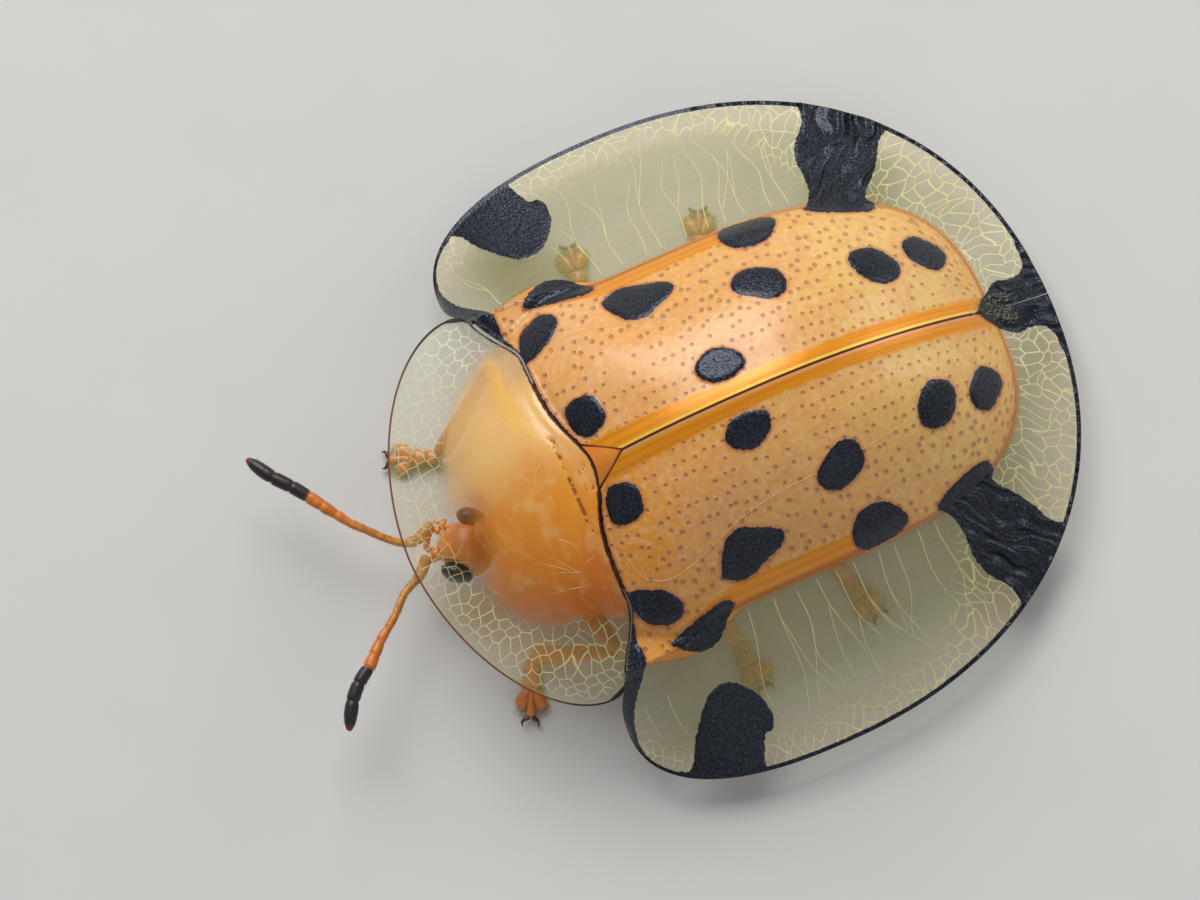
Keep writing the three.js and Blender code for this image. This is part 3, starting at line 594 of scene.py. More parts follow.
thread = mottled("pale vein", 2.0, 1.0, (216, 206, 140), (240, 232, 178), Roughness=0.4)
pale_line = mottled("pale line on the dome", 2.0, 1.0, (226, 160, 78), (244, 196, 126), Roughness=0.4)
for name, side in (("wing_case_left", 1), ("wing_case_right", -1)):
    finishes = (shell, film, inner_horn, inner_film)
    piece = plate(name, 132, 240, case_shape, CASE_THICK, finishes, side, parting=0.5)
    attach(piece, "root")
    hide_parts("elytron_left" if side > 0 else "elytron_right")
    bm = bmesh.new()
    for root in np.arange(0.02, 0.66, VEIN_STEP):
        root += chance.uniform(-0.006, 0.006)
        lean = (0.03 if root < 0.45 else -0.05) + chance.uniform(-0.02, 0.02)
        on, outs = vein(bm, (root, 0.015), chance.uniform(0.55, 0.9), lean, VEIN_HALF_THICK, side)
        if chance.random() < 0.65:
            fork = chance.integers(2, 7)
            reach = chance.uniform(0.65, 0.92)
            aslant = lean + chance.choice([-0.06, 0.07])
            vein(bm, (on[fork], outs[fork]), reach, aslant, FORK_HALF_THICK, side)
    # Fine hairs stand on the tail patch
    roots, _ = case_shape(chance.uniform(0.4, 0.66, TAIL_HAIRS), chance.uniform(0.972, 0.999, TAIL_HAIRS))
    for root in roots:
        tip = (side * chance.uniform(-0.6, 0.6), chance.uniform(0.2, 1.0), chance.uniform(0.3, 0.8))
        hair(bm, (side * root[0], root[1], root[2] - 0.01), tip, chance.uniform(0.1, 0.18), 0.005)
    piece_from(bm, name + "_veins", thread, "wing_case")

    # A pale line winds along the middle of the dome
    bm = bmesh.new()
    line = smooth_line([(1.85, -2.3), (2.35, -2.16), (2.6, -1.75), (2.55, -1.2), (2.32, -0.5), (2.1, 0.2),
                        (1.98, 1.0), (1.93, 1.9), (1.8, 3.1), (1.6, 4.0)])
    height = RIM_HEIGHT + disc_rise(line[:, 0], line[:, 1]) - 0.036
    ridge = np.column_stack([side * line[:, 0], line[:, 1], height])
    bent_tube(bm, ridge, lambda t: 0.016 - 0.006 * t, sides=6, rings=80)
    piece_from(bm, name + "_line", pale_line, "wing_case")


# Scutellum: a small orange triangle let in between the wing cases, slightly domed.
def scutellum_shape(u, v):
    x = (u - 0.5) * 2 * (0.44 * (1 - v) + 0.006)
    front = shield_hind_y(x) + 0.03
    y = front + (SCUTELLUM_TIP_Y - 0.05 - front) * v
    z = disc_rise(x, y) + 0.05 * np.cos(np.pi * (u - 0.5)) * (1 - v) - 0.02
    edge = np.minimum((0.5 - np.abs(u - 0.5)) * 0.88 * (1 - v), (1 - v) * 0.6)
    return np.column_stack([x, y, RIM_HEIGHT + z]), {"edge": edge}


wedge = Finish("orange scutellum")
wedge_tone = wedge.mix(wedge.noise(3.0, 3.0), tint(222, 112, 22), tint(236, 150, 50))
wedge_tone = wedge.mix(wedge.step(wedge.kept("edge"), 0.05, 0.01), wedge_tone, tint(140, 52, 10))
wedge.set(Base_Color=wedge_tone, Roughness=0.25, Coat_Weight=0.6, Coat_Roughness=0.1, Subsurface_Weight=0.15,
          Subsurface_Scale=0.0004, Subsurface_Radius=(1.0, 0.4, 0.1))
wedge.relief(0.008 * wedge.noise(8.0, 3.0))
piece = plate("scutellum_wedge", 24, 24, scutellum_shape, 0.1, (wedge,))
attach(piece, "root")
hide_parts("scutellum")


# Neck shield. A half-moon plate over the head, milky amber in the middle and clear at the margin.
# The margin has a honeycomb of pale threads and a thin brown rim; pale branches show under the middle.
SHIELD_DISC = [(-3.4, -2.6), (-3.38, -3.02), (-3.08, -3.59), (-2.74, -4.07), (-2.4, -4.42), (-1.75, -4.83),
               (-1.18, -5.05), (-0.6, -5.28), (0.13, -5.34), (1.1, -5.25), (1.7, -5.03), (2.08, -4.76),
               (2.38, -4.45), (2.58, -4.09), (2.68, -3.68), (2.8, -3.24), (3.0, -2.7), (2.0, -1.8),
               (0.0, -1.2), (-2.0, -1.8)]
SHIELD_HALF_WIDTH = 4.15
SHIELD_CORNER_X = 3.98
SHIELD_THICK = 0.09


def shield_front(degrees):
    return superellipse((0, -3.7), (SHIELD_HALF_WIDTH, 2.54), 1.8, degrees)


def shield_rise(x, y):
    ratio = (np.abs(x / SHIELD_HALF_WIDTH) ** 2.2 + np.abs((y + 2.2) / 4.04) ** 2.2) ** (1 / 2.2)
    return 1.45 + 0.35 * np.minimum(1, (1 - ratio) / 0.22) + 1.6 * np.maximum(0, 1 - (ratio / 0.78) ** 2.5)


def shield_shape(u, v):
    side = 2 * u - 1
    front = shield_front(-90 * (1 - side))
    hind = np.column_stack([SHIELD_CORNER_X * side, shield_hind_y(SHIELD_CORNER_X * side)])
    x, y = (front + (hind - front) * v[:, None]).T
    x = x + 0.06 * side**9 * np.sin(np.pi * v)
    corner_y = shield_hind_y(SHIELD_CORNER_X)
    behind = [(SHIELD_CORNER_X, corner_y), (3.0, -1.2), (-3.0, -1.2), (-SHIELD_CORNER_X, corner_y)]
    to_rim = -distance_to(np.vstack([shield_front(np.linspace(-180, 0, 160)), behind]), x, y)
    to_hind = shield_hind_y(x) - y
    z = shield_rise(x, y) + 0.02 * ease(-to_rim, -0.07, -0.02) + 0.015 * ease(-to_hind, -0.25, -0.1)
    disc = distance_to(smooth_line(SHIELD_DISC, closed=True, steps=5), x, y)
    over_head = ease(-np.hypot((x - 0.26) / 0.95, (y + 5.3) / 0.85), -1.15, -0.5)
    over_head = np.maximum(over_head, np.exp(-(((x + 0.22) / 0.36) ** 2) - ((y + 4.8) / 0.34) ** 2))
    # Two short lines are sunk across the middle, close to the hind edge
    line = np.where((x > -0.85) & (x < 1.2), y + 2.71, 9.0)
    line = np.where((x > -0.1) & (x < 0.45) & (np.abs(y + 2.36) < 0.12), y + 2.36, line)
    z = z - 0.025 * np.exp(-((line / 0.05) ** 2))
    values = {"disc": disc, "to_rim": to_rim, "to_hind": to_hind, "over_head": over_head, "line": line}
    return np.column_stack([x, y, RIM_HEIGHT + z]), values


shield = Finish("milky amber neck shield")
step, mix = shield.step, shield.mix
disc, to_rim, to_hind = shield.kept("disc"), shield.kept("to_rim"), shield.kept("to_hind")
x, y, z = shield.parts(shield.place)
cloud = shield.noise(0.5, 1.0)
fine = shield.noise(2.6, 2.0)
over_head = shield.kept("over_head")
wavy_x = x + 1.6 * (cloud - 0.5)
milky = mix(step(wavy_x, -2.6, -1.6), tint(212, 166, 110), tint(240, 190, 114))
milky = mix(step(wavy_x, -1.2, 0.6), milky, tint(230, 142, 34))
milky = mix(step(wavy_x, 0.6, 2.2), milky, tint(224, 118, 0))
milky = mix(0.55 * step(fine, 0.45, 0.75), milky, tint(238, 186, 112))
wavy_hind = to_hind + 0.5 * (cloud - 0.5)
golden = step(wavy_hind, 0.4, 0.55) * step(wavy_hind, 0.95, 0.6) * step(x, 2.0, 0.6)
gold_tone = mix(step(x, -1.5, 0.5), tint(244, 186, 80), tint(232, 148, 24))
milky = mix(0.7 * golden, milky, gold_tone)
milky = mix(over_head, milky, tint(218, 128, 30))
bead = shield.node("ShaderNodeTexVoronoi", (), {"Vector": shield.place, "Scale": 9.0})
broken = step(shield.maths("ABSOLUTE", shield.kept("line")), 0.05, 0.015) * step(bead, 0.62, 0.4)
milky = mix(0.85 * broken, milky, tint(128, 66, 12))
rim = 1 - step(to_rim, 0.03, 0.055)
hind_rim = 1 - step(to_hind + 0.05 * (shield.noise(9.0, 1.0) - 0.5), 0.02, 0.045)
solid = step(disc + 0.2 * (fine - 0.5), -0.3, 0.04, 1.0, 0.0)
drift = shield.noise(1.5, 0.0)
comb = 1 - step(shield.net(4.3, shield.joined(x + 0.4 * drift, y - 0.3 * drift), 0.62), 0.012, 0.08)
comb = comb * step(to_rim, 0.06, 0.2) * (1 - solid * (1 - 0.7 * over_head))
near_disc = step(disc, 1.5, 0.0) * step(x, -1.6, 0.4) * (1 - over_head)
tone = mix(0.8 * near_disc, tint(206, 200, 130), tint(196, 146, 56))
tone = mix(comb, tone, tint(236, 226, 166))
tone = mix(solid, tone, mix(0.5 * comb, milky, tint(250, 190, 110)))
dark_rim = mix(step(y, -4.4, -3.6), tint(118, 66, 32), tint(22, 18, 18))
tone = mix(rim, tone, dark_rim)
tone = mix(hind_rim, tone, tint(60, 26, 8))
deep = step(disc, -1.0, -0.2, 1.0, 0.0)
dense = solid * (0.72 + 0.27 * deep - 0.56 * over_head)
thin = 0.17 + 0.2 * near_disc - 0.15 * over_head + 0.45 * comb
edges = shield.maths("MAXIMUM", rim, hind_rim)
shield.set(Base_Color=tone, Alpha=shield.maths("MAXIMUM", shield.maths("MAXIMUM", dense, thin), edges),
           Roughness=0.26 + 0.4 * edges, Coat_Weight=0.45 * (1 - edges), Coat_Roughness=0.14, IOR=1.5)
shield.relief(0.014 * fine - 0.015 * broken)
inner_shield = Finish("clear underside of the shield")
disc = inner_shield.kept("disc")
tone = inner_shield.mix(inner_shield.step(disc, 0.0, -0.4), tint(214, 210, 150), tint(210, 140, 60))
inner_shield.set(Base_Color=tone, Roughness=0.3, IOR=1.4,
                 Alpha=0.02 + 0.58 * inner_shield.step(disc, -0.3, -1.0))
piece = plate("shield_plate", 170, 100, shield_shape, SHIELD_THICK, (shield, inner_shield))
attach(piece, "root")
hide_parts("pronotum")

BRANCHES = [
    [(-1.59, -3.33), (-1.77, -3.43), (-1.95, -3.57)], [(-1.59, -3.33), (-1.57, -3.51), (-1.62, -3.8)],
    [(-1.59, -3.33), (-1.43, -3.46), (-1.22, -3.6)],
    [(-1.36, -3.16), (-1.14, -3.28), (-0.9, -3.43), (-0.75, -3.66)],
    [(-0.48, -3.05), (-0.34, -3.26), (-0.04, -3.42)], [(-0.5, -3.6), (-0.28, -3.47), (-0.04, -3.42)],
    [(0.21, -3.18), (0.4, -3.2), (0.6, -3.26)],
    [(1.78, -3.23), (1.61, -3.38), (1.43, -3.51), (1.15, -3.76)],
    [(1.78, -3.23), (1.65, -3.48), (1.52, -3.85)],
    [(1.0, -3.4), (1.17, -3.21), (1.36, -3.11), (1.66, -3.09)],
    [(2.02, -3.3), (1.95, -3.58), (1.87, -3.98)], [(1.66, -3.09), (1.61, -2.93), (1.55, -2.75)],
    [(1.66, -3.4), (1.4, -3.72), (1.2, -4.05)], [(-1.45, -3.3), (-1.3, -3.7), (-1.2, -4.0)],
]
pale = mottled("pale branch", 2.0, 2.0, (234, 170, 92), (250, 206, 140), Roughness=0.4)
bm = bmesh.new()
for branch in BRANCHES:
    line = smooth_line(branch, steps=6)
    line = np.column_stack([line, RIM_HEIGHT + shield_rise(line[:, 0], line[:, 1]) - 0.004])
    bent_tube(bm, line, lambda t: 0.011 * (1 - 0.7 * t), sides=6, rings=20)
piece_from(bm, "shield_branches", pale, "neck_shield")


# Trunk. One skin of orange-brown horn from the neck to the tail, hidden above by the plates.
# Its belly is nearly flat, with a groove between the swellings of the hips and five rings on the abdomen.
HIPS = {
    "front_left": (0.95, -3.65), "front_right": (-0.95, -3.65), "middle_left": (1.15, -1.35),
    "middle_right": (-1.15, -1.35), "hind_left": (1.2, 0.8), "hind_right": (-1.2, 0.8),
}
RING_SEAMS = [-2.5, 0.35, 1.49, 2.48, 3.47, 4.46]
TRUNK_FRONT_Y = -4.12
TRUNK_LENGTH = 9.6
UNDER_PLATES = 1.05


def round_end(t, share):
    return np.sqrt(np.clip(1 - np.maximum(0, 1 - t / share) ** 2, 0, 1))


def capped(t, first, last):
    """Rounds both ends of a form, over a first and a last share of its length."""
    return round_end(t, first) * round_end(1 - t, last)


def trunk_half_width(y):
    back = np.maximum(0, y - 1) / 4.55
    wide = 3.05 * np.maximum(0.0, 1 - back**2.2) ** (1 / 2.2)
    neck = 1.45 + 0.8 * ease(y, -4.1, -2.9)
    return np.where(y < -2.4, neck, neck + (wide - neck) * ease(y, -2.55, -2.25))


def trunk_shape(t, angle):
    y = TRUNK_FRONT_Y + TRUNK_LENGTH * (t - 0.02 * np.sin(2 * np.pi * t))
    end = capped(t, 0.03, 0.03)
    c, s = np.cos(angle), np.sin(angle)
    round_x = np.sign(c) * np.abs(c) ** (2 / 2.4)
    round_z = np.sign(s) * np.abs(s) ** (2 / 2.4)
    half = np.maximum(0.02, trunk_half_width(y)) * end
    x = half * round_x
    under_shield = y < -2.45
    back = RIM_HEIGHT + np.where(under_shield, shield_rise(x, y), disc_rise(x, y)) - UNDER_PLATES
    sides = RIM_HEIGHT + np.where(under_shield, shield_rise(half, y), disc_rise(half, y)) - UNDER_PLATES
    belly = 1.46 - 0.35 * ease(y, 3, 5.5)
    seam = sum(np.exp(-(((y - at) / 0.05) ** 2)) for at in RING_SEAMS)
    belly = belly + 0.07 * seam + 0.05 * np.exp(-((x / 0.12) ** 2)) * ease(-y, -0.3, 0.1)
    for hip_x, hip_y in HIPS.values():
        belly = belly - 0.26 * np.exp(-(((x - hip_x * 0.8) / 0.42) ** 2) - ((y - hip_y) / 0.34) ** 2)
    low = belly + (sides - belly) * np.abs(round_x) ** 6
    z = low + (back - low) * (0.5 + 0.5 * round_z * end)
    return np.column_stack([x, y, z])


horn = Finish("orange-brown underside")
horn_tone = horn.mix(horn.step(horn.noise(2.5, 4.0), 0.35, 0.65), tint(190, 106, 34), tint(214, 140, 58))
horn.set(Base_Color=horn_tone, Roughness=0.35, Coat_Weight=0.3, Coat_Roughness=0.2, Subsurface_Weight=0.1,
         Subsurface_Scale=0.0003, Subsurface_Radius=(1.0, 0.4, 0.1))
horn.relief(0.012 * horn.noise(12.0, 3.0))
bm = bmesh.new()
ball(bm, 72, 160, trunk_shape)
bmesh.ops.recalc_face_normals(bm, faces=bm.faces)
piece_from(bm, "trunk_skin", horn, "body", "prothorax", "thorax", "abdomen")


# Head. A rounded capsule turned to the beetle's right, with a low face, lips, jaws and feeler sockets.
# A hollow at each side holds the eye; the eyes are black and faceted.
HEAD_CENTRE = Vector((0.05, -5.05, 1.2))
HEAD_TURN = math.radians(-39)
HEAD_WIDE, HEAD_LONG, HEAD_HIGH = 0.64, 0.56, 0.54
TO_HEAD = Matrix.Translation(HEAD_CENTRE) @ Matrix.Rotation(HEAD_TURN, 4, "Z")


def head_shape(t, angle):
    ring = np.sin(np.pi * t)
    x, y = HEAD_WIDE * ring * np.cos(angle), HEAD_LONG * ring * np.sin(angle)
    z = HEAD_HIGH * np.cos(np.pi * t)
    ahead = ease(-y / HEAD_LONG, 0.2, 1) * ease(-z / HEAD_HIGH, -0.4, 0.8)
    middle = np.exp(-((x / 0.34) ** 2))
    y = y - 0.23 * ahead * middle
    z = z - 0.19 * ahead * middle
    y = y + 0.03 * np.exp(-((x / 0.05) ** 2)) * ease(-y, 0.2, 0.5)
    for side in (-1, 1):
        near = ((y + 0.1) / 0.46) ** 2 + ((z - 0.08) / 0.43) ** 2
        hollow = side * 0.56 - side * 0.28 * np.sqrt(np.maximum(0, 1 - near))
        x = np.where((near < 1) & (side * x > side * hollow), hollow, x)
    return np.column_stack([x, y, z])


bm = bmesh.new()
ball(bm, 64, 48, head_shape)
for side in (-1, 1):
    jaw = smooth_line([(0.2 * side, -0.66, -0.4), (0.2 * side, -0.84, -0.42), (0.06 * side, -0.92, -0.4)])
    bent_tube(bm, jaw, lambda t: 0.085 * (1 - 0.7 * t) * round_end(t, 0.1), rings=20)
    palp = smooth_line([(0.26 * side, -0.5, -0.42), (0.4 * side, -0.68, -0.52), (0.38 * side, -0.88, -0.56)])
    bent_tube(bm, palp, lambda t: (0.035 + 0.02 * np.abs(np.sin(3 * np.pi * t))) * round_end(1 - t, 0.1),
              rings=30)
    socket = Matrix.Translation((0.3 * side, -0.62, 0.02)) @ Matrix.Rotation(1.5, 4, "X")
    root = bmesh.ops.create_cone(bm, cap_ends=True, segments=20, radius1=0.13, radius2=0.1, depth=0.12,
                                 matrix=socket)
    bmesh.ops.bevel(bm, geom=[e for e in bm.edges if all(v in root["verts"] for v in e.verts)], offset=0.02,
                    segments=2, profile=0.5, affect="EDGES", material=-1)
lip = smooth_line([(-0.22, -0.8, -0.3), (0, -0.86, -0.31), (0.22, -0.8, -0.3)])
bent_tube(bm, lip, lambda t: 0.06 * np.sin(np.pi * t) ** 0.5, rings=24)
bmesh.ops.transform(bm, matrix=TO_HEAD, verts=bm.verts)
neck = smooth_line([(0.02, -3.95, 1.72), (0.03, -4.3, 1.6), (0.05, -4.75, 1.35)])
bent_tube(bm, neck, lambda t: (0.34 - 0.04 * np.cos(6 * np.pi * t)) * capped(t, 0.1, 0.1), sides=32)
bmesh.ops.recalc_face_normals(bm, faces=bm.faces)
face = Finish("orange-brown head")
x, y, z = face.parts(face.place)
behind = y - HEAD_CENTRE.y - MIDDLE_Y
outer = ((x - HEAD_CENTRE.x) ** 2.0 + behind**2.0) ** 0.5 + 0.2 * (face.noise(5.0, 2.0) - 0.5)
face_tone = face.mix(face.noise(3.0, 4.0), tint(206, 108, 26), tint(232, 144, 50))
# Painted highlight: a brighter orange band round the head's rim
face_tone = face.mix(face.step(outer, 0.42, 0.54), face_tone, tint(248, 154, 50))
face_tone = face.mix(face.step(behind, -0.1, 0.35), face_tone, tint(226, 132, 30))
face.set(Base_Color=face_tone, Roughness=0.35, Coat_Weight=0.3, Coat_Roughness=0.15)
face.relief(0.01 * face.noise(16.0, 3.0))
piece_from(bm, "head_capsule", face, "body", "head")

eye_black = Finish("faceted black eye")
facets = eye_black.node("ShaderNodeTexVoronoi", (),
                        {"Vector": eye_black.place, "Scale": 26.0, "Randomness": 0.3})
eye_black.set(Base_Color=eye_black.mix(facets, tint(8, 6, 6), tint(26, 16, 14)), Roughness=0.25,
              Coat_Weight=0.35, Coat_Roughness=0.1)
eye_black.relief(-0.01 * facets)
for name, side in (("left", 1), ("right", -1)):
    def eye_shape(t, angle):
        ring = np.sin(np.pi * t)
        x, y, z = ring * np.cos(angle), ring * np.sin(angle), np.cos(np.pi * t)
        notch = np.exp(-(((y + 0.9) / 0.4) ** 2) - ((z + 0.1) / 0.5) ** 2)
        return np.column_stack([side * (0.57 + 0.2 * x), -0.1 + 0.36 * y + 0.1 * notch, 0.1 + 0.32 * z])

    bm = bmesh.new()
    ball(bm, 40, 32, eye_shape)
    bmesh.ops.transform(bm, matrix=TO_HEAD, verts=bm.verts)
    bmesh.ops.recalc_face_normals(bm, faces=bm.faces)
    piece_from(bm, "eye_bead_" + name, eye_black, "eyes", "eye_" + name)


# Feelers. Eleven joints each, slender and amber near the head, stouter and orange further out.
# The last three joints are black with a reddish tip; all are set with short fine hairs.
FEELER_JOINTS = np.array([0.5, 0.25, 0.42, 0.4, 0.38, 0.34, 0.34, 0.34, 0.4, 0.42, 0.7])
FEELER_RADII = np.array([0.12, 0.08, 0.078, 0.08, 0.085, 0.1, 0.12, 0.13, 0.135, 0.14, 0.14])
FEELER_LINES = {
    "antenna_right": [(-0.66, -5.5, 1.2), (-0.52, -6.15, 1.2), (-1.17, -6.88, 1.42), (-1.52, -7.16, 1.5),
                      (-2.3, -7.69, 1.6), (-2.82, -8.1, 1.6), (-3.42, -8.45, 1.55)],
    "antenna_left": [(-0.13, -5.86, 1.2), (0.2, -6.2, 1.2), (0.4, -6.58, 1.3), (0.78, -6.97, 1.4),
                     (1.1, -7.39, 1.48), (1.47, -7.77, 1.55), (1.7, -8.09, 1.58), (2.01, -8.38, 1.58),
                     (2.61, -8.73, 1.55)],
}
FEELER_END = 0.975
FEELER_HAIRS = 420
joint_ends = np.concatenate([[0], np.cumsum(FEELER_JOINTS)]) / FEELER_JOINTS.sum()


def feeler_radius(t):
    joint = np.clip(np.searchsorted(joint_ends, t, side="right") - 1, 0, 10)
    share = (t - joint_ends[joint]) / (joint_ends[joint + 1] - joint_ends[joint])
    before = FEELER_RADII[np.maximum(joint - 1, 0)]
    full = before + (FEELER_RADII[joint] - before) * ease(share, 0, 0.8)
    narrow = np.where(joint < 7, 0.12, 0.17)
    waist = 1 - narrow * np.exp(-((share / 0.09) ** 2)) - narrow * np.exp(-(((1 - share) / 0.06) ** 2))
    tip = np.sqrt(np.clip(1 - np.maximum(0, (share - 0.35) / 0.66) ** 1.8, 0, 1))
    wide = np.where(joint == 10, np.minimum(tip, waist + 10 * (share > 0.5)), waist)
    return wide * full * round_end(t, 0.02)


feeler = Finish("amber feeler")
t = feeler.kept("along")
feeler_tone = feeler.mix(feeler.step(t, 0.2, 0.55), tint(216, 154, 66), tint(228, 130, 46))
ringed = feeler.mix(0.5 * feeler.step(feeler.noise(6.0, 3.0), 0.4, 0.6), feeler_tone, tint(170, 84, 24))
black_part = feeler.step(t + 0.02 * (feeler.noise(6.0, 1.0) - 0.5), 0.655, 0.675)
tip_tone = feeler.mix(feeler.step(t, 0.955, 0.99), tint(38, 26, 28), tint(122, 52, 34))
feeler.set(Base_Color=feeler.mix(black_part, ringed, tip_tone), Roughness=0.42, Coat_Weight=0.15,
           Subsurface_Weight=0.08, Subsurface_Scale=0.0002)
feeler.relief(0.006 * feeler.noise(30.0, 2.0))
chance = np.random.default_rng(7)
for name, points in FEELER_LINES.items():
    line = along(smooth_line(points), np.linspace(0, FEELER_END, 90))
    bm = bmesh.new()
    layer = bm.verts.layers.float.new("along")
    verts, share = bent_tube(bm, line, feeler_radius, sides=20, rings=190)
    for vertex, value in zip(verts, share):
        vertex[layer] = value
    for share in chance.uniform(0.1, 0.96, FEELER_HAIRS):
        centre, onward = along(line, np.array([share, min(1, share + 0.01)]))
        ahead = Vector(onward - centre).normalized()
        out = Vector(chance.normal(size=3)).cross(ahead).normalized()
        root = Vector(centre) + out * float(feeler_radius(np.array([share]))[0]) * 0.9
        for vertex in hair(bm, root, ahead + 0.6 * out, chance.uniform(0.06, 0.12), 0.004):
            vertex[layer] = share
    bmesh.ops.recalc_face_normals(bm, faces=bm.faces)
    piece_from(bm, name + "_beads", feeler, "feelers", name)


# Legs. Thigh, shin, three broad padded foot joints and a slender claw joint with two hooked claws.
# They are amber horn with pale hair under the pads; the feet lie flat on the floor.
LEG_POINTS = {
    "front_left": ((0.95, -3.65), (3.2, -3.15), (2.45, -4.75), (3.72, -5.36)),
    "front_right": ((-0.95, -3.65), (-3.15, -3.2), (-2.0, -4.85), (-2.43, -5.95)),
    "middle_left": ((1.15, -1.35), (2.9, -1.15), (3.85, -0.9), (5.0, -0.75)),
    "middle_right": ((-1.15, -1.35), (-2.9, -1.15), (-3.85, -0.9), (-5.0, -0.75)),
    "hind_left": ((1.2, 0.8), (2.65, 1.25), (3.55, 1.6), (4.6, 1.95)),
    "hind_right": ((-1.2, 0.8), (-2.65, 1.25), (-3.55, 1.6), (-4.6, 1.95)),
}
HIP_HEIGHT, KNEE_HEIGHT, ANKLE_HEIGHT, TOE_HEIGHT = 1.0, 1.08, 0.3, 0.13
PAD_HALF_HEIGHT = 0.1
PAD_HAIRS = 80


def foot_pad(bm, start, bow, end, half, root, full_at, last):
    """A flat pad that broadens from a share of its half width at its root."""
    bent_tube(bm, smooth_line([start, start.lerp(end, 0.5) + bow, end]),
              lambda t: half * (root + (1 - root) * ease(t, 0, full_at)) * capped(t, 0.2, last),
              lambda t: PAD_HALF_HEIGHT * capped(t, 0.2, last), sides=20, rings=24)


def set_down(bm, height):
    """Flattens what would sink below a height over the floor, and turns all faces outwards."""
    for vertex in bm.verts:
        vertex.co.z = max(height, vertex.co.z)
    bmesh.ops.recalc_face_normals(bm, faces=bm.faces)


leg_horn = mottled("amber leg", 4.0, 3.0, (190, 100, 34), (226, 150, 70), Roughness=0.32, Coat_Weight=0.35,
                   Coat_Roughness=0.15, Subsurface_Weight=0.12, Subsurface_Scale=0.0003,
                   Subsurface_Radius=(1.0, 0.4, 0.1))
leg_horn.relief(0.008 * leg_horn.noise(18.0, 3.0))
pale_hair = mottled("pale pad hair", 9.0, 1.0, (226, 190, 124), (240, 214, 160), Roughness=0.5)
claw_horn = mottled("dark claw", 6.0, 2.0, (58, 22, 10), (112, 50, 20), Roughness=0.25, Coat_Weight=0.5)
claw_horn.relief(0.003 * claw_horn.noise(30.0, 2.0))
for name, (hip, knee, ankle, toe) in LEG_POINTS.items():
    hip, knee = Vector((*hip, HIP_HEIGHT)), Vector((*knee, KNEE_HEIGHT))
    ankle, toe = Vector((*ankle, ANKLE_HEIGHT)), Vector((*toe, TOE_HEIGHT))
    ahead = Vector((toe.x - ankle.x, toe.y - ankle.y, 0)).normalized()
    aside = Vector((-ahead.y, ahead.x, 0))
    above = Vector((0, 0, 1))
    bm = bmesh.new()
    thigh = smooth_line([hip, hip.lerp(knee, 0.5) + 0.04 * above, knee])
    bent_tube(bm, thigh, lambda t: (0.17 + 0.09 * np.sin(np.pi * np.clip(t * 1.1, 0, 1)) - 0.03 * t)
              * capped(t, 0.06, 0.08), sides=24, rings=60)
    shin = smooth_line([knee, knee.lerp(ankle, 0.45) + 0.05 * aside + 0.05 * above, ankle + 0.02 * above])
    bent_tube(bm, shin, lambda t: (0.12 + 0.07 * ease(t, 0, 0.9)) * capped(t, 0.08, 0.08), sides=24, rings=60)

    # Two pads lie one behind the other, and the third has two lobes
    pads = []
    for share, half in ((-0.02, 0.17), (0.2, 0.2)):
        start, end = ankle.lerp(toe, share), ankle.lerp(toe, share + 0.26)
        start.z, end.z = 0.2, 0.15
        foot_pad(bm, start, 0 * aside, end, half, 0.45, 0.8, 0.3)
        pads.append((start.lerp(end, 0.8), half))
    for side in (-1, 1):
        start, end = ankle.lerp(toe, 0.44), ankle.lerp(toe, 0.76) + 0.19 * side * aside
        start.z, end.z = 0.17, 0.12
        foot_pad(bm, start, 0.05 * side * aside, end, 0.155, 0.4, 0.7, 0.35)
        pads.append((start.lerp(end, 0.85), 0.15))
    claw_root = ankle.lerp(toe, 0.86)
    claw_root.z = 0.15
    stem = smooth_line([ankle.lerp(toe, 0.5) + 0.02 * above, ankle.lerp(toe, 0.7) + 0.02 * above, claw_root])
    bent_tube(bm, stem, lambda t: (0.05 + 0.035 * t) * capped(t, 0.1, 0.1), sides=16, rings=30)
    set_down(bm, 0.0)
    piece_from(bm, "limb_" + name, leg_horn, "legs", "leg_" + name)

    bm = bmesh.new()
    for centre, half in pads:
        for _ in range(PAD_HAIRS):
            out = Vector((chance.normal(), chance.normal(), 0)).normalized()
            root = centre + out * half * 0.8
            root.z = chance.uniform(0.03, 0.1)
            hair(bm, root, out + 0.4 * ahead - 0.15 * above, chance.uniform(0.09, 0.17), 0.007)
    set_down(bm, 0.004)
    piece_from(bm, "pad_hair_" + name, pale_hair, "legs")

    bm = bmesh.new()
    for side in (-1, 1):
        tip = Vector((toe.x, toe.y, 0.06)) + 0.16 * side * aside
        bow = claw_root.lerp(tip, 0.5) + 0.08 * side * aside + 0.05 * above
        bent_tube(bm, smooth_line([claw_root + 0.03 * side * aside, bow, tip]),
                  lambda t: 0.06 * (1 - 0.85 * t) * capped(t, 0.1, 0.05), sides=14, rings=30)
    set_down(bm, 0.002)
    piece_from(bm, "claw_pair_" + name, claw_horn, "claws", "claws_" + name)


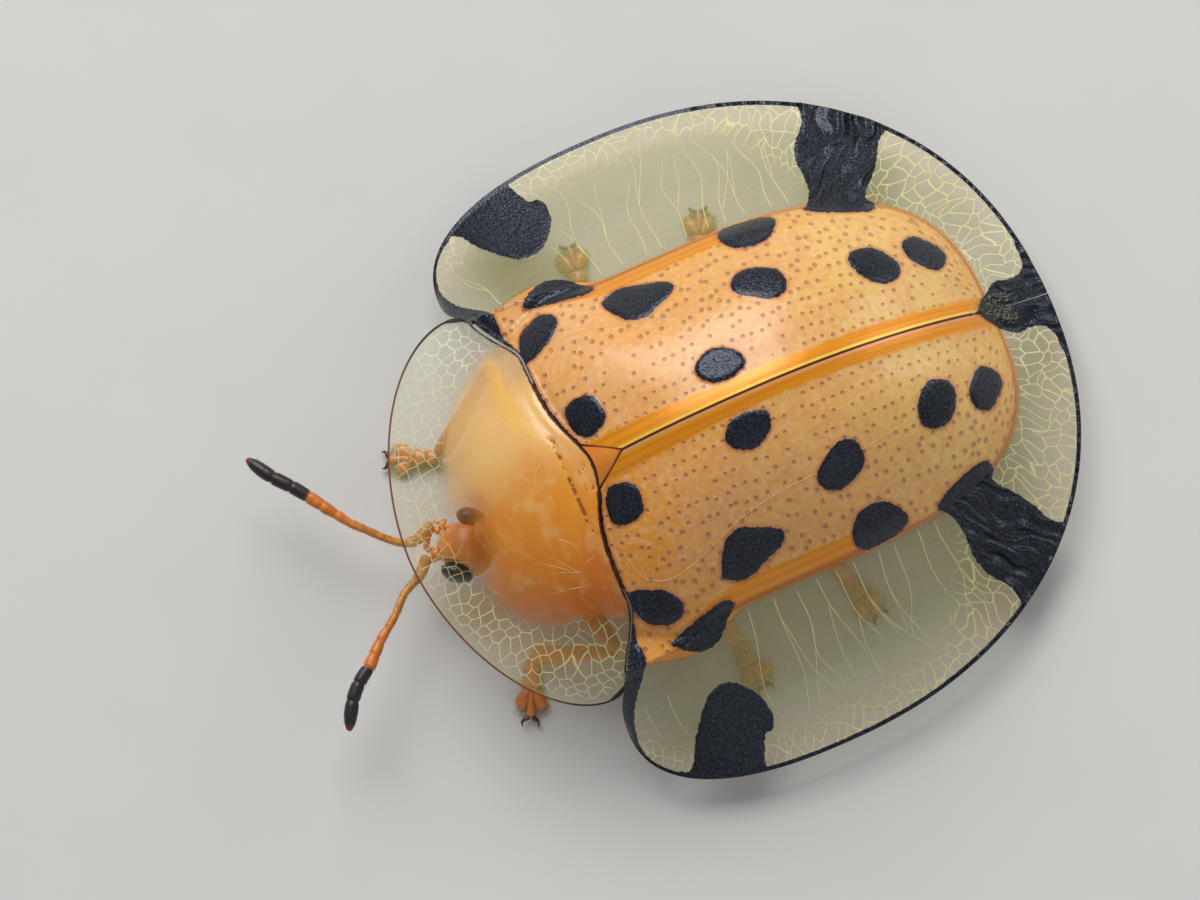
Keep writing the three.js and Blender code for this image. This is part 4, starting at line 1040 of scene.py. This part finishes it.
# Floor, light and camera. The beetle stands on a pale matt floor under three square soft lights: a strong one
# at the top of the picture, a weak one low on the right and a small one behind. The camera looks down on it
# from the same side as in the photo.
floor_mesh = bmesh.new()
bmesh.ops.create_grid(floor_mesh, x_segments=1, y_segments=1, size=1.0)
floor_data = bpy.data.meshes.new("floor")
floor_mesh.to_mesh(floor_data)
floor_mesh.free()
floor = put_in_scene("floor", floor_data)
paper = mottled("pale floor", 0.3, 3.0, (214, 213, 208), (220, 219, 214), Roughness=0.8)
floor_data.materials.append(paper.material)

PICTURE_WIDTH = 0.024
DISTANCE = 0.15
SENSOR_WIDTH = 36
LEAN_X, LEAN_Y = 0.15, -0.02
towards = Vector((LEAN_X, LEAN_Y, (1 - LEAN_X**2 - LEAN_Y**2) ** 0.5))
across = (Vector((1, 0, 0)) - towards * towards.x).normalized()
over = towards.cross(across)
turned = math.radians(66.1)
right = math.cos(turned) * across + math.sin(turned) * over
up = math.cos(turned) * over - math.sin(turned) * across
target = Vector((-0.74, -1.86 + MIDDLE_Y, RIM_HEIGHT)) * 0.001
camera = put_in_scene("camera", bpy.data.cameras.new("camera"))
camera.data.sensor_width = SENSOR_WIDTH
camera.data.lens = SENSOR_WIDTH * DISTANCE / PICTURE_WIDTH
camera.data.clip_start = 0.005
camera.data.clip_end = 5
axes = Matrix((right, up, towards)).transposed().to_4x4()
camera.matrix_world = Matrix.Translation(target + towards * DISTANCE) @ axes
bpy.context.scene.camera = camera


def soft_light(name, aside, upward, forward, size, power):
    """A square soft light, placed by how far it is to the picture's right, top and front, in metres."""
    light = put_in_scene(name, bpy.data.lights.new(name, "AREA"))
    light.data.size = size
    light.data.energy = power
    spot = target + right * aside + up * upward + towards * forward
    turn = (target - spot).to_track_quat("-Z", "Y").to_matrix().to_4x4()
    light.matrix_world = Matrix.Translation(spot) @ turn


soft_light("key_light", -0.05, 0.17, 0.13, 0.16, 0.42)
soft_light("fill_light", 0.1, -0.14, 0.16, 0.2, 0.04)
soft_light("back_light", 0.14, 0.1, 0.05, 0.08, 0.05)
world = bpy.data.worlds.new("studio")
world.use_nodes = True
sky = world.node_tree.nodes["Background"].inputs
sky["Color"].default_value = (0.93, 0.95, 1.0, 1)
sky["Strength"].default_value = 0.28
bpy.context.scene.world = world
bpy.context.scene.view_settings.view_transform = "Standard"
